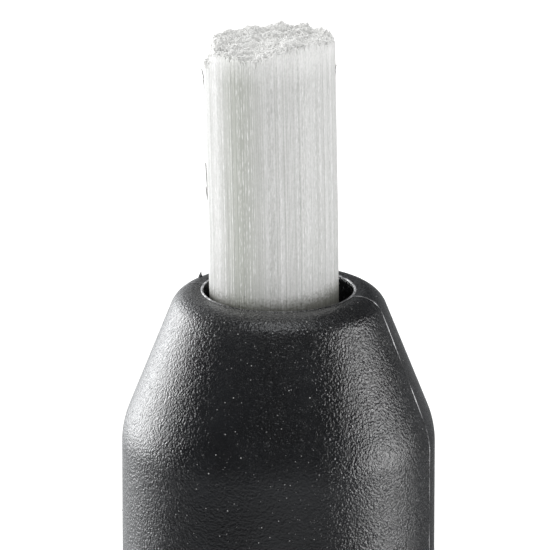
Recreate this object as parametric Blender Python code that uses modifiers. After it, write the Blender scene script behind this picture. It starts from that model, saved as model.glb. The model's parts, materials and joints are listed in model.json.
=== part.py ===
"""Twist-feed glass-fibre brush pen, standing on its knob with the brush pointing up.

Turning the knob turns a coarse left-hand lead screw. A nut on the screw, keyed in the slots of a
guide tube, moves along it and pushes a tube, a holder and the brush refill out of the nose.

Frame: metres, +Z along the pen towards the brush, origin at the centre of the knob's end face,
the pocket clip towards -Y and the barrel's parting line in the XZ plane.
"""

from math import atan2, cos, pi, radians, sin, tan

import bmesh
import bpy
from mathutils import Matrix, Vector

MM = 0.001

# Driving dimensions -------------------------------------------------------------------------

BRUSH_RADIUS = 2.0 * MM
BRUSH_REACH = 8.0 * MM  # how far the brush stands out of the nose
NOSE_Z = 112.0 * MM  # the nose's flat front face

BARREL_RADIUS = 4.8 * MM
HOLE_RADIUS = 2.3 * MM
NOSE_RADIUS = 3.1 * MM  # where the cone would meet the front face
NOSE_ANGLE = radians(21.6)  # the cone's side to the axis
BORE_RADIUS = 3.5 * MM
HOLE_ROUNDING = 0.1 * MM
NOSE_ROUNDING = 0.8 * MM
SHOULDER_ROUNDING = 2.8 * MM
EDGE_ROUNDING = 0.2 * MM  # on the edges of turned and moulded pieces

LEAD = 3.0 * MM  # feed for each turn of the knob
RETRACT = 9.0 * MM  # travel back from the rest position
ADVANCE = 24.0 * MM  # travel forward from the rest position

SEAT_GAP = 0.05 * MM  # between pieces that rest on each other
SLIDE_GAP = 0.06 * MM  # radial play of a sliding or turning piece
END_GAP = 0.1 * MM  # between the ends of pieces in line
CUT_OVERRUN = 1.0 * MM  # how far a cutter reaches past what it cuts

ROUND_STEPS = 48
SMALL_STEPS = 24
THREAD_STEPS = 12
ARC_STEPS = 4

# Stations along Z, from the knob's end to the brush -------------------------------------------

KNOB_FRONT_Z = 13.0 * MM
RING_REAR_Z = 13.2 * MM
RING_FRONT_Z = 17.2 * MM
BARREL_REAR_Z = 17.3 * MM
BUSH_FRONT_Z = 27.0 * MM
GUIDE_REAR_Z = BUSH_FRONT_Z + END_GAP
GUIDE_SEAT_Z = 106.5 * MM
THROAT_Z = 107.7 * MM  # where the bore has narrowed to the nose's hole
STOP_MARGIN = 1.0 * MM  # room past each end of the nut's travel
NUT_REAR_Z = BUSH_FRONT_Z + STOP_MARGIN + RETRACT
NUT_THREAD = 2 * LEAD
NUT_SOCKET = 2.0 * MM
SCREW_THREAD_TURNS = 13
HOLDER_REAR_Z = 77.9 * MM
PUSH_TUBE_FRONT_Z = 80.6 * MM
HOLDER_COLLAR_FRONT_Z = 82.2 * MM
SPIGOT_LENGTH = 4.0 * MM
FERRULE_LENGTH = 9.0 * MM
BRUSH_TIP_Z = NOSE_Z + BRUSH_REACH

# Scene and helpers ----------------------------------------------------------------------------


def clear_scene():
    for obj in list(bpy.data.objects):
        bpy.data.objects.remove(obj)


def new_collection(name):
    collection = bpy.data.collections.new(name)
    bpy.context.scene.collection.children.link(collection)
    return collection


def material(name, colour, roughness, metallic=0.0):
    made = bpy.data.materials.new(name)
    made.use_nodes = True
    shader = made.node_tree.nodes["Principled BSDF"]
    shader.inputs["Base Color"].default_value = (*colour, 1.0)
    shader.inputs["Roughness"].default_value = roughness
    shader.inputs["Metallic"].default_value = metallic
    return made


def put_in(obj, collection):
    for old in list(obj.users_collection):
        old.objects.unlink(obj)
    collection.objects.link(obj)


def as_node(obj, name, finish):
    """Names a finished shape and files it with the pen's pieces."""
    obj.name = name
    obj.data.name = name
    obj.data.materials.clear()
    obj.data.materials.append(finish)
    put_in(obj, PIECES)
    return obj


def as_helper(obj, name):
    """Files a shape that only cuts or joins another."""
    obj.name = name
    obj.hide_render = True
    obj.display_type = "WIRE"
    put_in(obj, CUTTERS)
    return obj


def rounded(corners, closed=True):
    """The corners (u, v) or (u, v, radius) as a path in which each radius becomes a tangent arc."""
    path = []
    for i, corner in enumerate(corners):
        point = Vector(corner[:2])
        radius = corner[2] if len(corner) > 2 else 0.0
        at_end = not closed and i in (0, len(corners) - 1)
        if not radius or at_end:
            path.append(point)
            continue
        back = (Vector(corners[i - 1][:2]) - point).normalized()
        ahead = (Vector(corners[(i + 1) % len(corners)][:2]) - point).normalized()
        half = back.angle(ahead) / 2
        centre = point + (back + ahead).normalized() * (radius / sin(half))
        reach = radius / tan(half)
        first = point + back * reach - centre
        last = point + ahead * reach - centre
        start = atan2(first.y, first.x)
        sweep = (atan2(last.y, last.x) - start + pi) % (2 * pi) - pi
        for step in range(ARC_STEPS + 1):
            angle = start + sweep * step / ARC_STEPS
            path.append(centre + Vector((cos(angle), sin(angle))) * radius)
    return path


def turned(corners, steps=ROUND_STEPS):
    """A turned shape. Its (radius, z) corners run down the outer side and, if hollow, up the inner.

    A path that starts and ends on the axis is a solid; any other is closed into a ring.
    """
    ring = corners[0][0] > 0
    path = rounded(corners, closed=ring)
    count = len(path)
    edges = [(i, (i + 1) % count) for i in range(count if ring else count - 1)]
    mesh = bpy.data.meshes.new("profile")
    mesh.from_pydata([(radius, 0.0, z) for radius, z in path], edges, [])
    obj = bpy.data.objects.new("turned", mesh)
    CUTTERS.objects.link(obj)
    screw = obj.modifiers.new("Screw", "SCREW")
    screw.steps = screw.render_steps = steps
    screw.use_merge_vertices = True
    screw.merge_threshold = 0.001 * MM
    screw.use_smooth_shade = False
    return obj


def box(low, high):
    """A box from its low corner to its high one."""
    low, high = Vector(low), Vector(high)
    bpy.ops.mesh.primitive_cube_add(size=1.0, location=(low + high) / 2)
    obj = bpy.context.object
    obj.scale = high - low
    bpy.ops.object.transform_apply(location=True, rotation=False, scale=True)
    return obj


def prism(sides, radius, rear_z, front_z):
    """A regular prism standing on the axis."""
    bpy.ops.mesh.primitive_cylinder_add(
        vertices=sides,
        radius=radius,
        depth=front_z - rear_z,
        location=(0.0, 0.0, (front_z + rear_z) / 2),
    )
    return bpy.context.object


def evaluated_copy(obj):
    """A plain mesh object of what obj's modifiers make. obj is removed."""
    bpy.context.view_layer.update()
    graph = bpy.context.evaluated_depsgraph_get()
    mesh = bpy.data.meshes.new_from_object(obj.evaluated_get(graph))
    copy = bpy.data.objects.new(obj.name, mesh)
    copy.matrix_world = obj.matrix_world.copy()
    CUTTERS.objects.link(copy)
    bpy.data.objects.remove(obj)
    return copy


def boolean(obj, other, operation):
    step = obj.modifiers.new(operation.title(), "BOOLEAN")
    step.operation = operation
    step.object = other
    step.solver = "EXACT"


def cut(obj, cutter, name):
    boolean(obj, as_helper(cutter, name), "DIFFERENCE")


def join(obj, other, name):
    boolean(obj, as_helper(other, name), "UNION")


# Thread ---------------------------------------------------------------------------------------

SCREW_CORE_RADIUS = 1.05 * MM
SCREW_CREST_RADIUS = 1.5 * MM
RIDGE_ROOT_RADIUS = SCREW_CORE_RADIUS - 0.15 * MM  # inside the core, so that the two join
CREST_HALF_WIDTH = 0.45 * MM
RIDGE_FLANK = 0.5  # how much a flank widens for each unit towards the axis
THREAD_PLAY = 0.12 * MM
THREAD_START_Z = BUSH_FRONT_Z + 0.9 * MM
STOP_RING_REAR_Z = THREAD_START_Z + SCREW_THREAD_TURNS * LEAD + 0.8 * MM
STOP_RING_LENGTH = 0.7 * MM


def thread_ridge(start_z, turns, root_radius, play=0.0):
    """The screw's left-hand ridge, from root_radius out to its crest and grown by play all round."""
    crest = SCREW_CREST_RADIUS + play
    crest_half = CREST_HALF_WIDTH + play
    root_half = crest_half + RIDGE_FLANK * (crest - root_radius)
    section = [
        (root_radius, root_half),
        (crest, crest_half),
        (crest, -crest_half),
        (root_radius, -root_half),
    ]
    mesh = bpy.data.meshes.new("ridge")
    mesh.from_pydata(
        [(radius, 0.0, start_z + z) for radius, z in section],
        [(0, 1), (1, 2), (2, 3), (3, 0)],
        [],
    )
    obj = bpy.data.objects.new("ridge", mesh)
    CUTTERS.objects.link(obj)
    screw = obj.modifiers.new("Screw", "SCREW")
    screw.angle = -2 * pi
    screw.screw_offset = LEAD
    screw.iterations = turns
    screw.steps = screw.render_steps = THREAD_STEPS
    obj = evaluated_copy(obj)
    shape = bmesh.new()
    shape.from_mesh(obj.data)
    open_edges = [edge for edge in shape.edges if edge.is_boundary]
    bmesh.ops.holes_fill(shape, edges=open_edges)
    bmesh.ops.recalc_face_normals(shape, faces=shape.faces)
    shape.to_mesh(obj.data)
    shape.free()
    return obj


# Barrel and what is fixed in it ---------------------------------------------------------------

GUIDE_OUTER_RADIUS = BORE_RADIUS - SLIDE_GAP
GUIDE_INNER_RADIUS = 2.9 * MM
SLOT_HALF_WIDTH = 0.65 * MM
BUSH_WAIST_RADIUS = 2.6 * MM
BUSH_FLANGE_RADIUS = 4.0 * MM
BUSH_FLANGE_FRONT_Z = 14.4 * MM
JOURNAL_RADIUS = 1.5 * MM
JOURNAL_BORE_RADIUS = JOURNAL_RADIUS + SLIDE_GAP
COLLAR_RADIUS = 2.6 * MM  # the lead screw's thrust collar
COLLAR_REAR_Z = 24.9 * MM
COLLAR_FRONT_Z = 25.9 * MM
COLLAR_POCKET_RADIUS = 2.75 * MM
COLLAR_POCKET_Z = 24.6 * MM
SEAL_GROOVE_RADIUS = 2.3 * MM
SEAL_GROOVE_Z = 18.9 * MM
SEAL_GROOVE_WIDTH = 1.0 * MM
SEAL_CORD_RADIUS = 0.36 * MM
RING_RADIUS = 4.85 * MM
RING_INNER_RADIUS = 3.6 * MM
RING_RECESS_RADIUS = BUSH_FLANGE_RADIUS + SEAT_GAP


def barrel():
    cone_base_z = NOSE_Z - (BARREL_RADIUS - NOSE_RADIUS) / tan(NOSE_ANGLE)
    obj = turned(
        [
            (HOLE_RADIUS, NOSE_Z, HOLE_ROUNDING),
            (NOSE_RADIUS, NOSE_Z, NOSE_ROUNDING),
            (BARREL_RADIUS, cone_base_z, SHOULDER_ROUNDING),
            (BARREL_RADIUS, BARREL_REAR_Z, EDGE_ROUNDING),
            (BORE_RADIUS, BARREL_REAR_Z),
            (BORE_RADIUS, GUIDE_SEAT_Z),
            (GUIDE_INNER_RADIUS + SEAT_GAP, GUIDE_SEAT_Z),
            (HOLE_RADIUS, THROAT_Z),
        ]
    )
    return as_node(obj, "barrel", BLACK_GRAINED)


def guide_tube():
    """The tube between the end bush and the nose, with two slots, open at the rear, for the nut's keys."""
    front_z = GUIDE_SEAT_Z - END_GAP
    slot_front_z = NUT_REAR_Z + NUT_THREAD + ADVANCE + STOP_MARGIN
    obj = turned(
        [
            (GUIDE_OUTER_RADIUS, front_z),
            (GUIDE_OUTER_RADIUS, GUIDE_REAR_Z),
            (GUIDE_INNER_RADIUS, GUIDE_REAR_Z),
            (GUIDE_INNER_RADIUS, front_z),
        ]
    )
    slot = box(
        (-BARREL_RADIUS, -SLOT_HALF_WIDTH, GUIDE_REAR_Z - CUT_OVERRUN),
        (BARREL_RADIUS, SLOT_HALF_WIDTH, slot_front_z),
    )
    cut(obj, slot, "guide_slot")
    return as_node(obj, "guide_tube", BRASS)


def end_bush():
    """The plug in the barrel's rear end: it clamps the clip ring and carries the lead screw."""
    plug_rear_z = BARREL_REAR_Z + SEAT_GAP
    plug_radius = BORE_RADIUS - SLIDE_GAP
    groove = (SEAL_GROOVE_Z - SEAL_GROOVE_WIDTH / 2, SEAL_GROOVE_Z + SEAL_GROOVE_WIDTH / 2)
    obj = turned(
        [
            (plug_radius, BUSH_FRONT_Z),
            (plug_radius, plug_rear_z),
            (BUSH_WAIST_RADIUS, plug_rear_z),
            (BUSH_WAIST_RADIUS, BUSH_FLANGE_FRONT_Z),
            (BUSH_FLANGE_RADIUS, BUSH_FLANGE_FRONT_Z),
            (BUSH_FLANGE_RADIUS, RING_REAR_Z),
            (JOURNAL_BORE_RADIUS, RING_REAR_Z),
            (JOURNAL_BORE_RADIUS, groove[0]),
            (SEAL_GROOVE_RADIUS, groove[0]),
            (SEAL_GROOVE_RADIUS, groove[1]),
            (JOURNAL_BORE_RADIUS, groove[1]),
            (JOURNAL_BORE_RADIUS, COLLAR_POCKET_Z),
            (COLLAR_POCKET_RADIUS, COLLAR_POCKET_Z),
            (COLLAR_POCKET_RADIUS, BUSH_FRONT_Z),
        ]
    )
    return as_node(obj, "end_bush", BLACK_SMOOTH)


def clip_ring():
    """The metal ring between knob and barrel, with the slot that holds the clip's tongue."""
    obj = turned(
        [
            (RING_INNER_RADIUS, RING_FRONT_Z),
            (RING_RADIUS, RING_FRONT_Z, EDGE_ROUNDING),
            (RING_RADIUS, RING_REAR_Z, EDGE_ROUNDING),
            (RING_RECESS_RADIUS, RING_REAR_Z),
            (RING_RECESS_RADIUS, BUSH_FLANGE_FRONT_Z + SEAT_GAP),
            (RING_INNER_RADIUS, BUSH_FLANGE_FRONT_Z + SEAT_GAP),
        ]
    )
    slot = box(
        (-TONGUE_SLOT_HALF_WIDTH, -RING_RADIUS - CUT_OVERRUN, CLIP_ROOT_Z - TONGUE_SLOT_HALF_HEIGHT),
        (TONGUE_SLOT_HALF_WIDTH, -BUSH_WAIST_RADIUS, CLIP_ROOT_Z + TONGUE_SLOT_HALF_HEIGHT),
    )
    cut(obj, slot, "tongue_slot")
    return as_node(obj, "clip_ring", CHROMED)


def friction_o_ring():
    """The rubber ring that drags on the screw's journal, so that the brush stays where it is set."""
    bpy.ops.mesh.primitive_torus_add(
        major_segments=SMALL_STEPS,
        minor_segments=10,
        major_radius=JOURNAL_RADIUS + SEAT_GAP + SEAL_CORD_RADIUS,
        minor_radius=SEAL_CORD_RADIUS,
        location=(0.0, 0.0, SEAL_GROOVE_Z),
    )
    return as_node(bpy.context.object, "friction_o_ring", RUBBER)


# Pocket clip ----------------------------------------------------------------------------------

CLIP_THICKNESS = 0.45 * MM
CLIP_ROOT_Z = 15.3 * MM
TONGUE_HALF_WIDTH = 0.8 * MM
TONGUE_SLOT_HALF_WIDTH = 1.0 * MM
TONGUE_SLOT_HALF_HEIGHT = 0.4 * MM
ARM_HALF_WIDTH = 1.6 * MM
ARM_TIP_HALF_WIDTH = 1.3 * MM
ARM_LIFT = 6.7 * MM  # the arm's distance from the axis at its root
PAD_LIFT = BARREL_RADIUS + 0.1 * MM + CLIP_THICKNESS / 2  # where the arm's bump meets the barrel
PAD_Z = 50.0 * MM
CLIP_TIP_Z = 54.0 * MM


def clip_half_width(lift, z):
    """Half the strip's width: narrow through the ring's slot, wide on the arm, tapering to its tip."""
    if lift < RING_RADIUS + 0.3 * MM and z < RING_FRONT_Z:
        return TONGUE_HALF_WIDTH
    along = max(0.0, (z - CLIP_ROOT_Z) / (CLIP_TIP_Z - CLIP_ROOT_Z))
    return ARM_HALF_WIDTH + (ARM_TIP_HALF_WIDTH - ARM_HALF_WIDTH) * along


def pocket_clip():
    """A bent strip: a hooked tongue in the ring, an arm along the barrel and a bump that grips."""
    hook_lift = 3.1 * MM
    path = rounded(
        [
            (hook_lift, 16.5 * MM),
            (hook_lift, CLIP_ROOT_Z, 0.3 * MM),
            (RING_RADIUS + 0.25 * MM, CLIP_ROOT_Z),
            (RING_RADIUS + 0.5 * MM, CLIP_ROOT_Z),
            (ARM_LIFT, CLIP_ROOT_Z, 0.9 * MM),
            (PAD_LIFT + 0.75 * MM, PAD_Z - 3.0 * MM, 4.0 * MM),
            (PAD_LIFT, PAD_Z, 1.5 * MM),
            (PAD_LIFT + 1.2 * MM, CLIP_TIP_Z),
        ],
        closed=False,
    )
    shape = bmesh.new()
    rows = []
    for lift, z in path:
        half = clip_half_width(lift, z)
        rows.append([shape.verts.new((side * half, -lift, z)) for side in (-1, 1)])
    for (a, b), (c, d) in zip(rows, rows[1:]):
        shape.faces.new((a, b, d, c))
    mesh = bpy.data.meshes.new("strip")
    shape.to_mesh(mesh)
    shape.free()
    obj = bpy.data.objects.new("strip", mesh)
    CUTTERS.objects.link(obj)
    solidify = obj.modifiers.new("Solidify", "SOLIDIFY")
    solidify.thickness = CLIP_THICKNESS
    solidify.offset = 0.0
    solidify.use_even_offset = True
    return as_node(obj, "pocket_clip", CHROMED)


# Knob and lead screw --------------------------------------------------------------------------

KNOB_RADIUS = 4.7 * MM
KNOB_END_ROUNDING = 0.6 * MM
KNOB_RECESS_RADIUS = 3.6 * MM
KNOB_RECESS_Z = 12.4 * MM
KNOB_WEB_Z = 3.6 * MM
KNOB_HEAD_POCKET_RADIUS = 2.0 * MM
CAP_POCKET_RADIUS = 3.2 * MM
CAP_POCKET_Z = 1.2 * MM
CAP_STUB_Z = 1.9 * MM
HEX_RADIUS = 1.4 * MM
HEX_REAR_Z = 4.2 * MM
SPRING_WASHER_THICKNESS = 0.2 * MM
FLUTES = 18
FLUTE_RADIUS = 0.5 * MM
FLUTE_DEPTH = 0.25 * MM
FLUTE_REAR_Z = 2.0 * MM
FLUTE_FRONT_Z = 11.2 * MM
FIXING_RADIUS = 0.7 * MM
FIXING_HOLE_RADIUS = FIXING_RADIUS + 0.1 * MM
PILOT_FRONT_Z = HEX_REAR_Z + 5.4 * MM
FIXING_HEAD_RADIUS = 1.7 * MM
FIXING_HEAD_HEIGHT = 1.0 * MM
FIXING_SLOT_HALF_WIDTH = 0.2 * MM
FIXING_SLOT_DEPTH = 0.5 * MM
LOCK_WASHER_RADIUS = 1.5 * MM
LOCK_WASHER_THICKNESS = 0.25 * MM
LOCK_WASHER_HALF_SPLIT = 0.12 * MM
LOCK_WASHER_Z = KNOB_WEB_Z - SEAT_GAP - LOCK_WASHER_THICKNESS


def flute_cutters():
    """One mesh of parallel rods around the knob, each cutting one grip flute."""
    shape = bmesh.new()
    bmesh.ops.create_cone(
        shape,
        cap_ends=True,
        segments=12,
        radius1=FLUTE_RADIUS,
        radius2=FLUTE_RADIUS,
        depth=FLUTE_FRONT_Z - FLUTE_REAR_Z,
    )
    reach = KNOB_RADIUS + FLUTE_RADIUS - FLUTE_DEPTH
    middle_z = (FLUTE_FRONT_Z + FLUTE_REAR_Z) / 2
    bmesh.ops.translate(shape, verts=shape.verts, vec=(reach, 0.0, middle_z))
    rod = bpy.data.meshes.new("rod")
    shape.to_mesh(rod)
    shape.free()
    rods = bmesh.new()
    for i in range(FLUTES):
        before = len(rods.verts)
        rods.from_mesh(rod)
        rods.verts.ensure_lookup_table()
        turn = Matrix.Rotation(2 * pi * (i + 0.5) / FLUTES, 3, "Z")
        for vert in rods.verts[before:]:
            vert.co = turn @ vert.co
    mesh = bpy.data.meshes.new("rods")
    rods.to_mesh(mesh)
    rods.free()
    obj = bpy.data.objects.new("rods", mesh)
    CUTTERS.objects.link(obj)
    return obj


def twist_knob():
    obj = turned(
        [
            (KNOB_RECESS_RADIUS, KNOB_FRONT_Z),
            (KNOB_RADIUS, KNOB_FRONT_Z, EDGE_ROUNDING),
            (KNOB_RADIUS, 0.0, KNOB_END_ROUNDING),
            (CAP_POCKET_RADIUS, 0.0),
            (CAP_POCKET_RADIUS, CAP_POCKET_Z),
            (KNOB_HEAD_POCKET_RADIUS, CAP_POCKET_Z),
            (KNOB_HEAD_POCKET_RADIUS, KNOB_WEB_Z),
            (FIXING_HOLE_RADIUS, KNOB_WEB_Z),
            (FIXING_HOLE_RADIUS, KNOB_RECESS_Z),
            (KNOB_RECESS_RADIUS, KNOB_RECESS_Z),
        ]
    )
    socket = prism(6, HEX_RADIUS + SLIDE_GAP, HEX_REAR_Z - END_GAP, KNOB_FRONT_Z)
    cut(obj, socket, "hex_socket")
    cut(obj, flute_cutters(), "grip_flutes")
    return as_node(obj, "twist_knob", BLACK_SMOOTH)


def end_cap():
    """The disc that covers the knob's fixing screw; its face is level with the knob's end."""
    obj = turned(
        [
            (0.0, CAP_STUB_Z),
            (KNOB_HEAD_POCKET_RADIUS - SLIDE_GAP, CAP_STUB_Z),
            (KNOB_HEAD_POCKET_RADIUS - SLIDE_GAP, CAP_POCKET_Z - SEAT_GAP),
            (CAP_POCKET_RADIUS - SLIDE_GAP, CAP_POCKET_Z - SEAT_GAP),
            (CAP_POCKET_RADIUS - SLIDE_GAP, 0.0),
            (0.0, 0.0),
        ]
    )
    return as_node(obj, "end_cap", GREY_SATIN)


def lead_screw():
    """Hexagonal tail, journal, thrust collar and threaded shaft in one piece."""
    shaft_front_z = STOP_RING_REAR_Z + STOP_RING_LENGTH + 0.2 * MM
    obj = turned(
        [
            (0.0, shaft_front_z),
            (SCREW_CORE_RADIUS, shaft_front_z, EDGE_ROUNDING),
            (SCREW_CORE_RADIUS, COLLAR_FRONT_Z),
            (COLLAR_RADIUS, COLLAR_FRONT_Z),
            (COLLAR_RADIUS, COLLAR_REAR_Z),
            (JOURNAL_RADIUS, COLLAR_REAR_Z),
            (JOURNAL_RADIUS, KNOB_RECESS_Z),
            (0.0, KNOB_RECESS_Z),
        ],
        steps=SMALL_STEPS,
    )
    tail = prism(6, HEX_RADIUS, HEX_REAR_Z, KNOB_RECESS_Z + CUT_OVERRUN)
    ridge = thread_ridge(THREAD_START_Z, SCREW_THREAD_TURNS, RIDGE_ROOT_RADIUS)
    join(obj, tail, "hex_tail")
    join(obj, ridge, "screw_ridge")
    pilot = prism(12, FIXING_RADIUS + SEAT_GAP, HEX_REAR_Z - CUT_OVERRUN, PILOT_FRONT_Z)
    cut(obj, pilot, "pilot_hole")
    return as_node(obj, "lead_screw", WHITE_ACETAL)


def stop_ring():
    """The ring on the screw's front end that keeps the nut from running off it."""
    front_z = STOP_RING_REAR_Z + STOP_RING_LENGTH
    obj = turned(
        [
            (PUSH_TUBE_INNER_RADIUS - SLIDE_GAP, front_z),
            (PUSH_TUBE_INNER_RADIUS - SLIDE_GAP, STOP_RING_REAR_Z),
            (SCREW_CORE_RADIUS + SEAT_GAP, STOP_RING_REAR_Z),
            (SCREW_CORE_RADIUS + SEAT_GAP, front_z),
        ],
        steps=SMALL_STEPS,
    )
    return as_node(obj, "stop_ring", STEEL)


def knob_screw():
    """The slotted screw that pulls the knob onto the lead screw's tail."""
    head_front_z = LOCK_WASHER_Z - SEAT_GAP
    head_rear_z = head_front_z - FIXING_HEAD_HEIGHT
    tip_z = PILOT_FRONT_Z - END_GAP
    obj = turned(
        [
            (0.0, tip_z),
            (FIXING_RADIUS, tip_z, EDGE_ROUNDING),
            (FIXING_RADIUS, head_front_z),
            (FIXING_HEAD_RADIUS, head_front_z),
            (FIXING_HEAD_RADIUS, head_rear_z, EDGE_ROUNDING),
            (0.0, head_rear_z),
        ],
        steps=SMALL_STEPS,
    )
    slot = box(
        (-2 * FIXING_HEAD_RADIUS, -FIXING_SLOT_HALF_WIDTH, head_rear_z - CUT_OVERRUN),
        (2 * FIXING_HEAD_RADIUS, FIXING_SLOT_HALF_WIDTH, head_rear_z + FIXING_SLOT_DEPTH),
    )
    cut(obj, slot, "driver_slot")
    return as_node(obj, "knob_screw", STEEL)


def lock_washer():
    """The split washer under the fixing screw's head."""
    front_z = LOCK_WASHER_Z + LOCK_WASHER_THICKNESS
    obj = turned(
        [
            (LOCK_WASHER_RADIUS, front_z),
            (LOCK_WASHER_RADIUS, LOCK_WASHER_Z),
            (FIXING_HOLE_RADIUS, LOCK_WASHER_Z),
            (FIXING_HOLE_RADIUS, front_z),
        ],
        steps=SMALL_STEPS,
    )
    split = box(
        (0.0, -LOCK_WASHER_HALF_SPLIT, LOCK_WASHER_Z - CUT_OVERRUN),
        (2 * LOCK_WASHER_RADIUS, LOCK_WASHER_HALF_SPLIT, front_z + CUT_OVERRUN),
    )
    cut(obj, split, "washer_split")
    return as_node(obj, "lock_washer", STEEL)


def spring_washer():
    """The dished washer that takes up end play between knob and bush."""
    inner, outer = JOURNAL_RADIUS + 0.25 * MM, KNOB_RECESS_RADIUS - 0.3 * MM
    rear_z, front_z = KNOB_RECESS_Z + SEAT_GAP, RING_REAR_Z - SEAT_GAP
    obj = turned(
        [
            (inner, front_z),
            (outer, rear_z + SPRING_WASHER_THICKNESS),
            (outer, rear_z),
            (inner, front_z - SPRING_WASHER_THICKNESS),
        ],
        steps=SMALL_STEPS,
    )
    return as_node(obj, "spring_washer", STEEL)


def thrust_washer():
    """The flat washer between the lead screw's collar and the bush."""
    obj = turned(
        [
            (COLLAR_RADIUS - SEAT_GAP, COLLAR_REAR_Z - SEAT_GAP),
            (COLLAR_RADIUS - SEAT_GAP, COLLAR_POCKET_Z + SEAT_GAP),
            (JOURNAL_RADIUS + 0.1 * MM, COLLAR_POCKET_Z + SEAT_GAP),
            (JOURNAL_RADIUS + 0.1 * MM, COLLAR_REAR_Z - SEAT_GAP),
        ],
        steps=SMALL_STEPS,
    )
    return as_node(obj, "thrust_washer", BRASS)


# Carrier --------------------------------------------------------------------------------------

PUSH_TUBE_RADIUS = 2.07 * MM
PUSH_TUBE_INNER_RADIUS = 1.68 * MM
CARRIER_RADIUS = GUIDE_INNER_RADIUS - SLIDE_GAP
KEY_HALF_WIDTH = SLOT_HALF_WIDTH - 0.1 * MM
KEY_REACH = GUIDE_OUTER_RADIUS - SLIDE_GAP
SPIGOT_RADIUS = 1.9 * MM
SLIT_HALF_WIDTH = 0.25 * MM
SLIT_ROOT = 0.8 * MM  # the unsplit length of the spigot next to the collar
KEY_SETBACK = 0.3 * MM


def carrier_nut():
    """The threaded nut, keyed on both sides, with a socket for the push tube."""
    thread_front_z = NUT_REAR_Z + NUT_THREAD
    front_z = thread_front_z + NUT_SOCKET
    obj = turned(
        [
            (0.0, front_z),
            (CARRIER_RADIUS, front_z),
            (CARRIER_RADIUS, NUT_REAR_Z),
            (0.0, NUT_REAR_Z),
        ],
        steps=SMALL_STEPS,
    )
    keys = box(
        (-KEY_REACH, -KEY_HALF_WIDTH, NUT_REAR_Z + KEY_SETBACK),
        (KEY_REACH, KEY_HALF_WIDTH, thread_front_z - KEY_SETBACK),
    )
    join(obj, keys, "nut_keys")
    bore = turned(
        [
            (0.0, front_z + CUT_OVERRUN),
            (PUSH_TUBE_RADIUS + SEAT_GAP, front_z + CUT_OVERRUN),
            (PUSH_TUBE_RADIUS + SEAT_GAP, thread_front_z),
            (SCREW_CORE_RADIUS + THREAD_PLAY, thread_front_z),
            (SCREW_CORE_RADIUS + THREAD_PLAY, NUT_REAR_Z - CUT_OVERRUN),
            (0.0, NUT_REAR_Z - CUT_OVERRUN),
        ],
        steps=SMALL_STEPS,
    )
    cut(obj, bore, "nut_bore")
    turns_below = int((NUT_REAR_Z - THREAD_START_Z) / LEAD) - 1
    groove_start_z = THREAD_START_Z + turns_below * LEAD
    groove_turns = round(NUT_THREAD / LEAD) + 3
    groove = thread_ridge(groove_start_z, groove_turns, RIDGE_ROOT_RADIUS, THREAD_PLAY)
    cut(obj, groove, "nut_groove")
    return as_node(obj, "carrier_nut", WHITE_ACETAL)


def push_tube():
    rear_z = NUT_REAR_Z + NUT_THREAD + SEAT_GAP
    obj = turned(
        [
            (PUSH_TUBE_RADIUS, PUSH_TUBE_FRONT_Z),
            (PUSH_TUBE_RADIUS, rear_z),
            (PUSH_TUBE_INNER_RADIUS, rear_z),
            (PUSH_TUBE_INNER_RADIUS, PUSH_TUBE_FRONT_Z),
        ],
        steps=SMALL_STEPS,
    )
    return as_node(obj, "push_tube", ALUMINIUM)


def refill_holder():
    """The plug in the push tube's front end, whose split spigot grips the refill's ferrule."""
    collar_rear_z = PUSH_TUBE_FRONT_Z + END_GAP
    spigot_z = HOLDER_COLLAR_FRONT_Z + SPIGOT_LENGTH
    plug_radius = PUSH_TUBE_INNER_RADIUS - SEAT_GAP
    obj = turned(
        [
            (0.0, spigot_z),
            (SPIGOT_RADIUS, spigot_z, EDGE_ROUNDING),
            (SPIGOT_RADIUS, HOLDER_COLLAR_FRONT_Z),
            (CARRIER_RADIUS, HOLDER_COLLAR_FRONT_Z),
            (CARRIER_RADIUS, collar_rear_z),
            (plug_radius, collar_rear_z),
            (plug_radius, HOLDER_REAR_Z),
            (0.0, HOLDER_REAR_Z),
        ],
        steps=SMALL_STEPS,
    )
    slit = box(
        (-2 * SPIGOT_RADIUS, -SLIT_HALF_WIDTH, HOLDER_COLLAR_FRONT_Z + SLIT_ROOT),
        (2 * SPIGOT_RADIUS, SLIT_HALF_WIDTH, spigot_z + CUT_OVERRUN),
    )
    cut(obj, slit, "spigot_slit")
    return as_node(obj, "refill_holder", WHITE_ACETAL)


# Refill ---------------------------------------------------------------------------------------

FERRULE_RADIUS = 2.2 * MM
FERRULE_INNER_RADIUS = 1.98 * MM
FERRULE_REAR_Z = HOLDER_COLLAR_FRONT_Z + END_GAP
FERRULE_FRONT_Z = FERRULE_REAR_Z + FERRULE_LENGTH
CRIMP_Z = (FERRULE_FRONT_Z - 1.2 * MM, FERRULE_FRONT_Z - 2.6 * MM)
CRIMP_DEPTH = 0.12 * MM
CRIMP_HALF_WIDTH = 0.35 * MM
RESIN_REAR_Z = HOLDER_COLLAR_FRONT_Z + SPIGOT_LENGTH + END_GAP
RESIN_THICKNESS = 1.2 * MM


def crimped(radius):
    """The crimp waists of a wall of this radius, as (radius, z) points from front to rear."""
    points = []
    for z in CRIMP_Z:
        points += [
            (radius, z + CRIMP_HALF_WIDTH),
            (radius - CRIMP_DEPTH, z + CRIMP_HALF_WIDTH / 3),
            (radius - CRIMP_DEPTH, z - CRIMP_HALF_WIDTH / 3),
            (radius, z - CRIMP_HALF_WIDTH),
        ]
    return points


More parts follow.
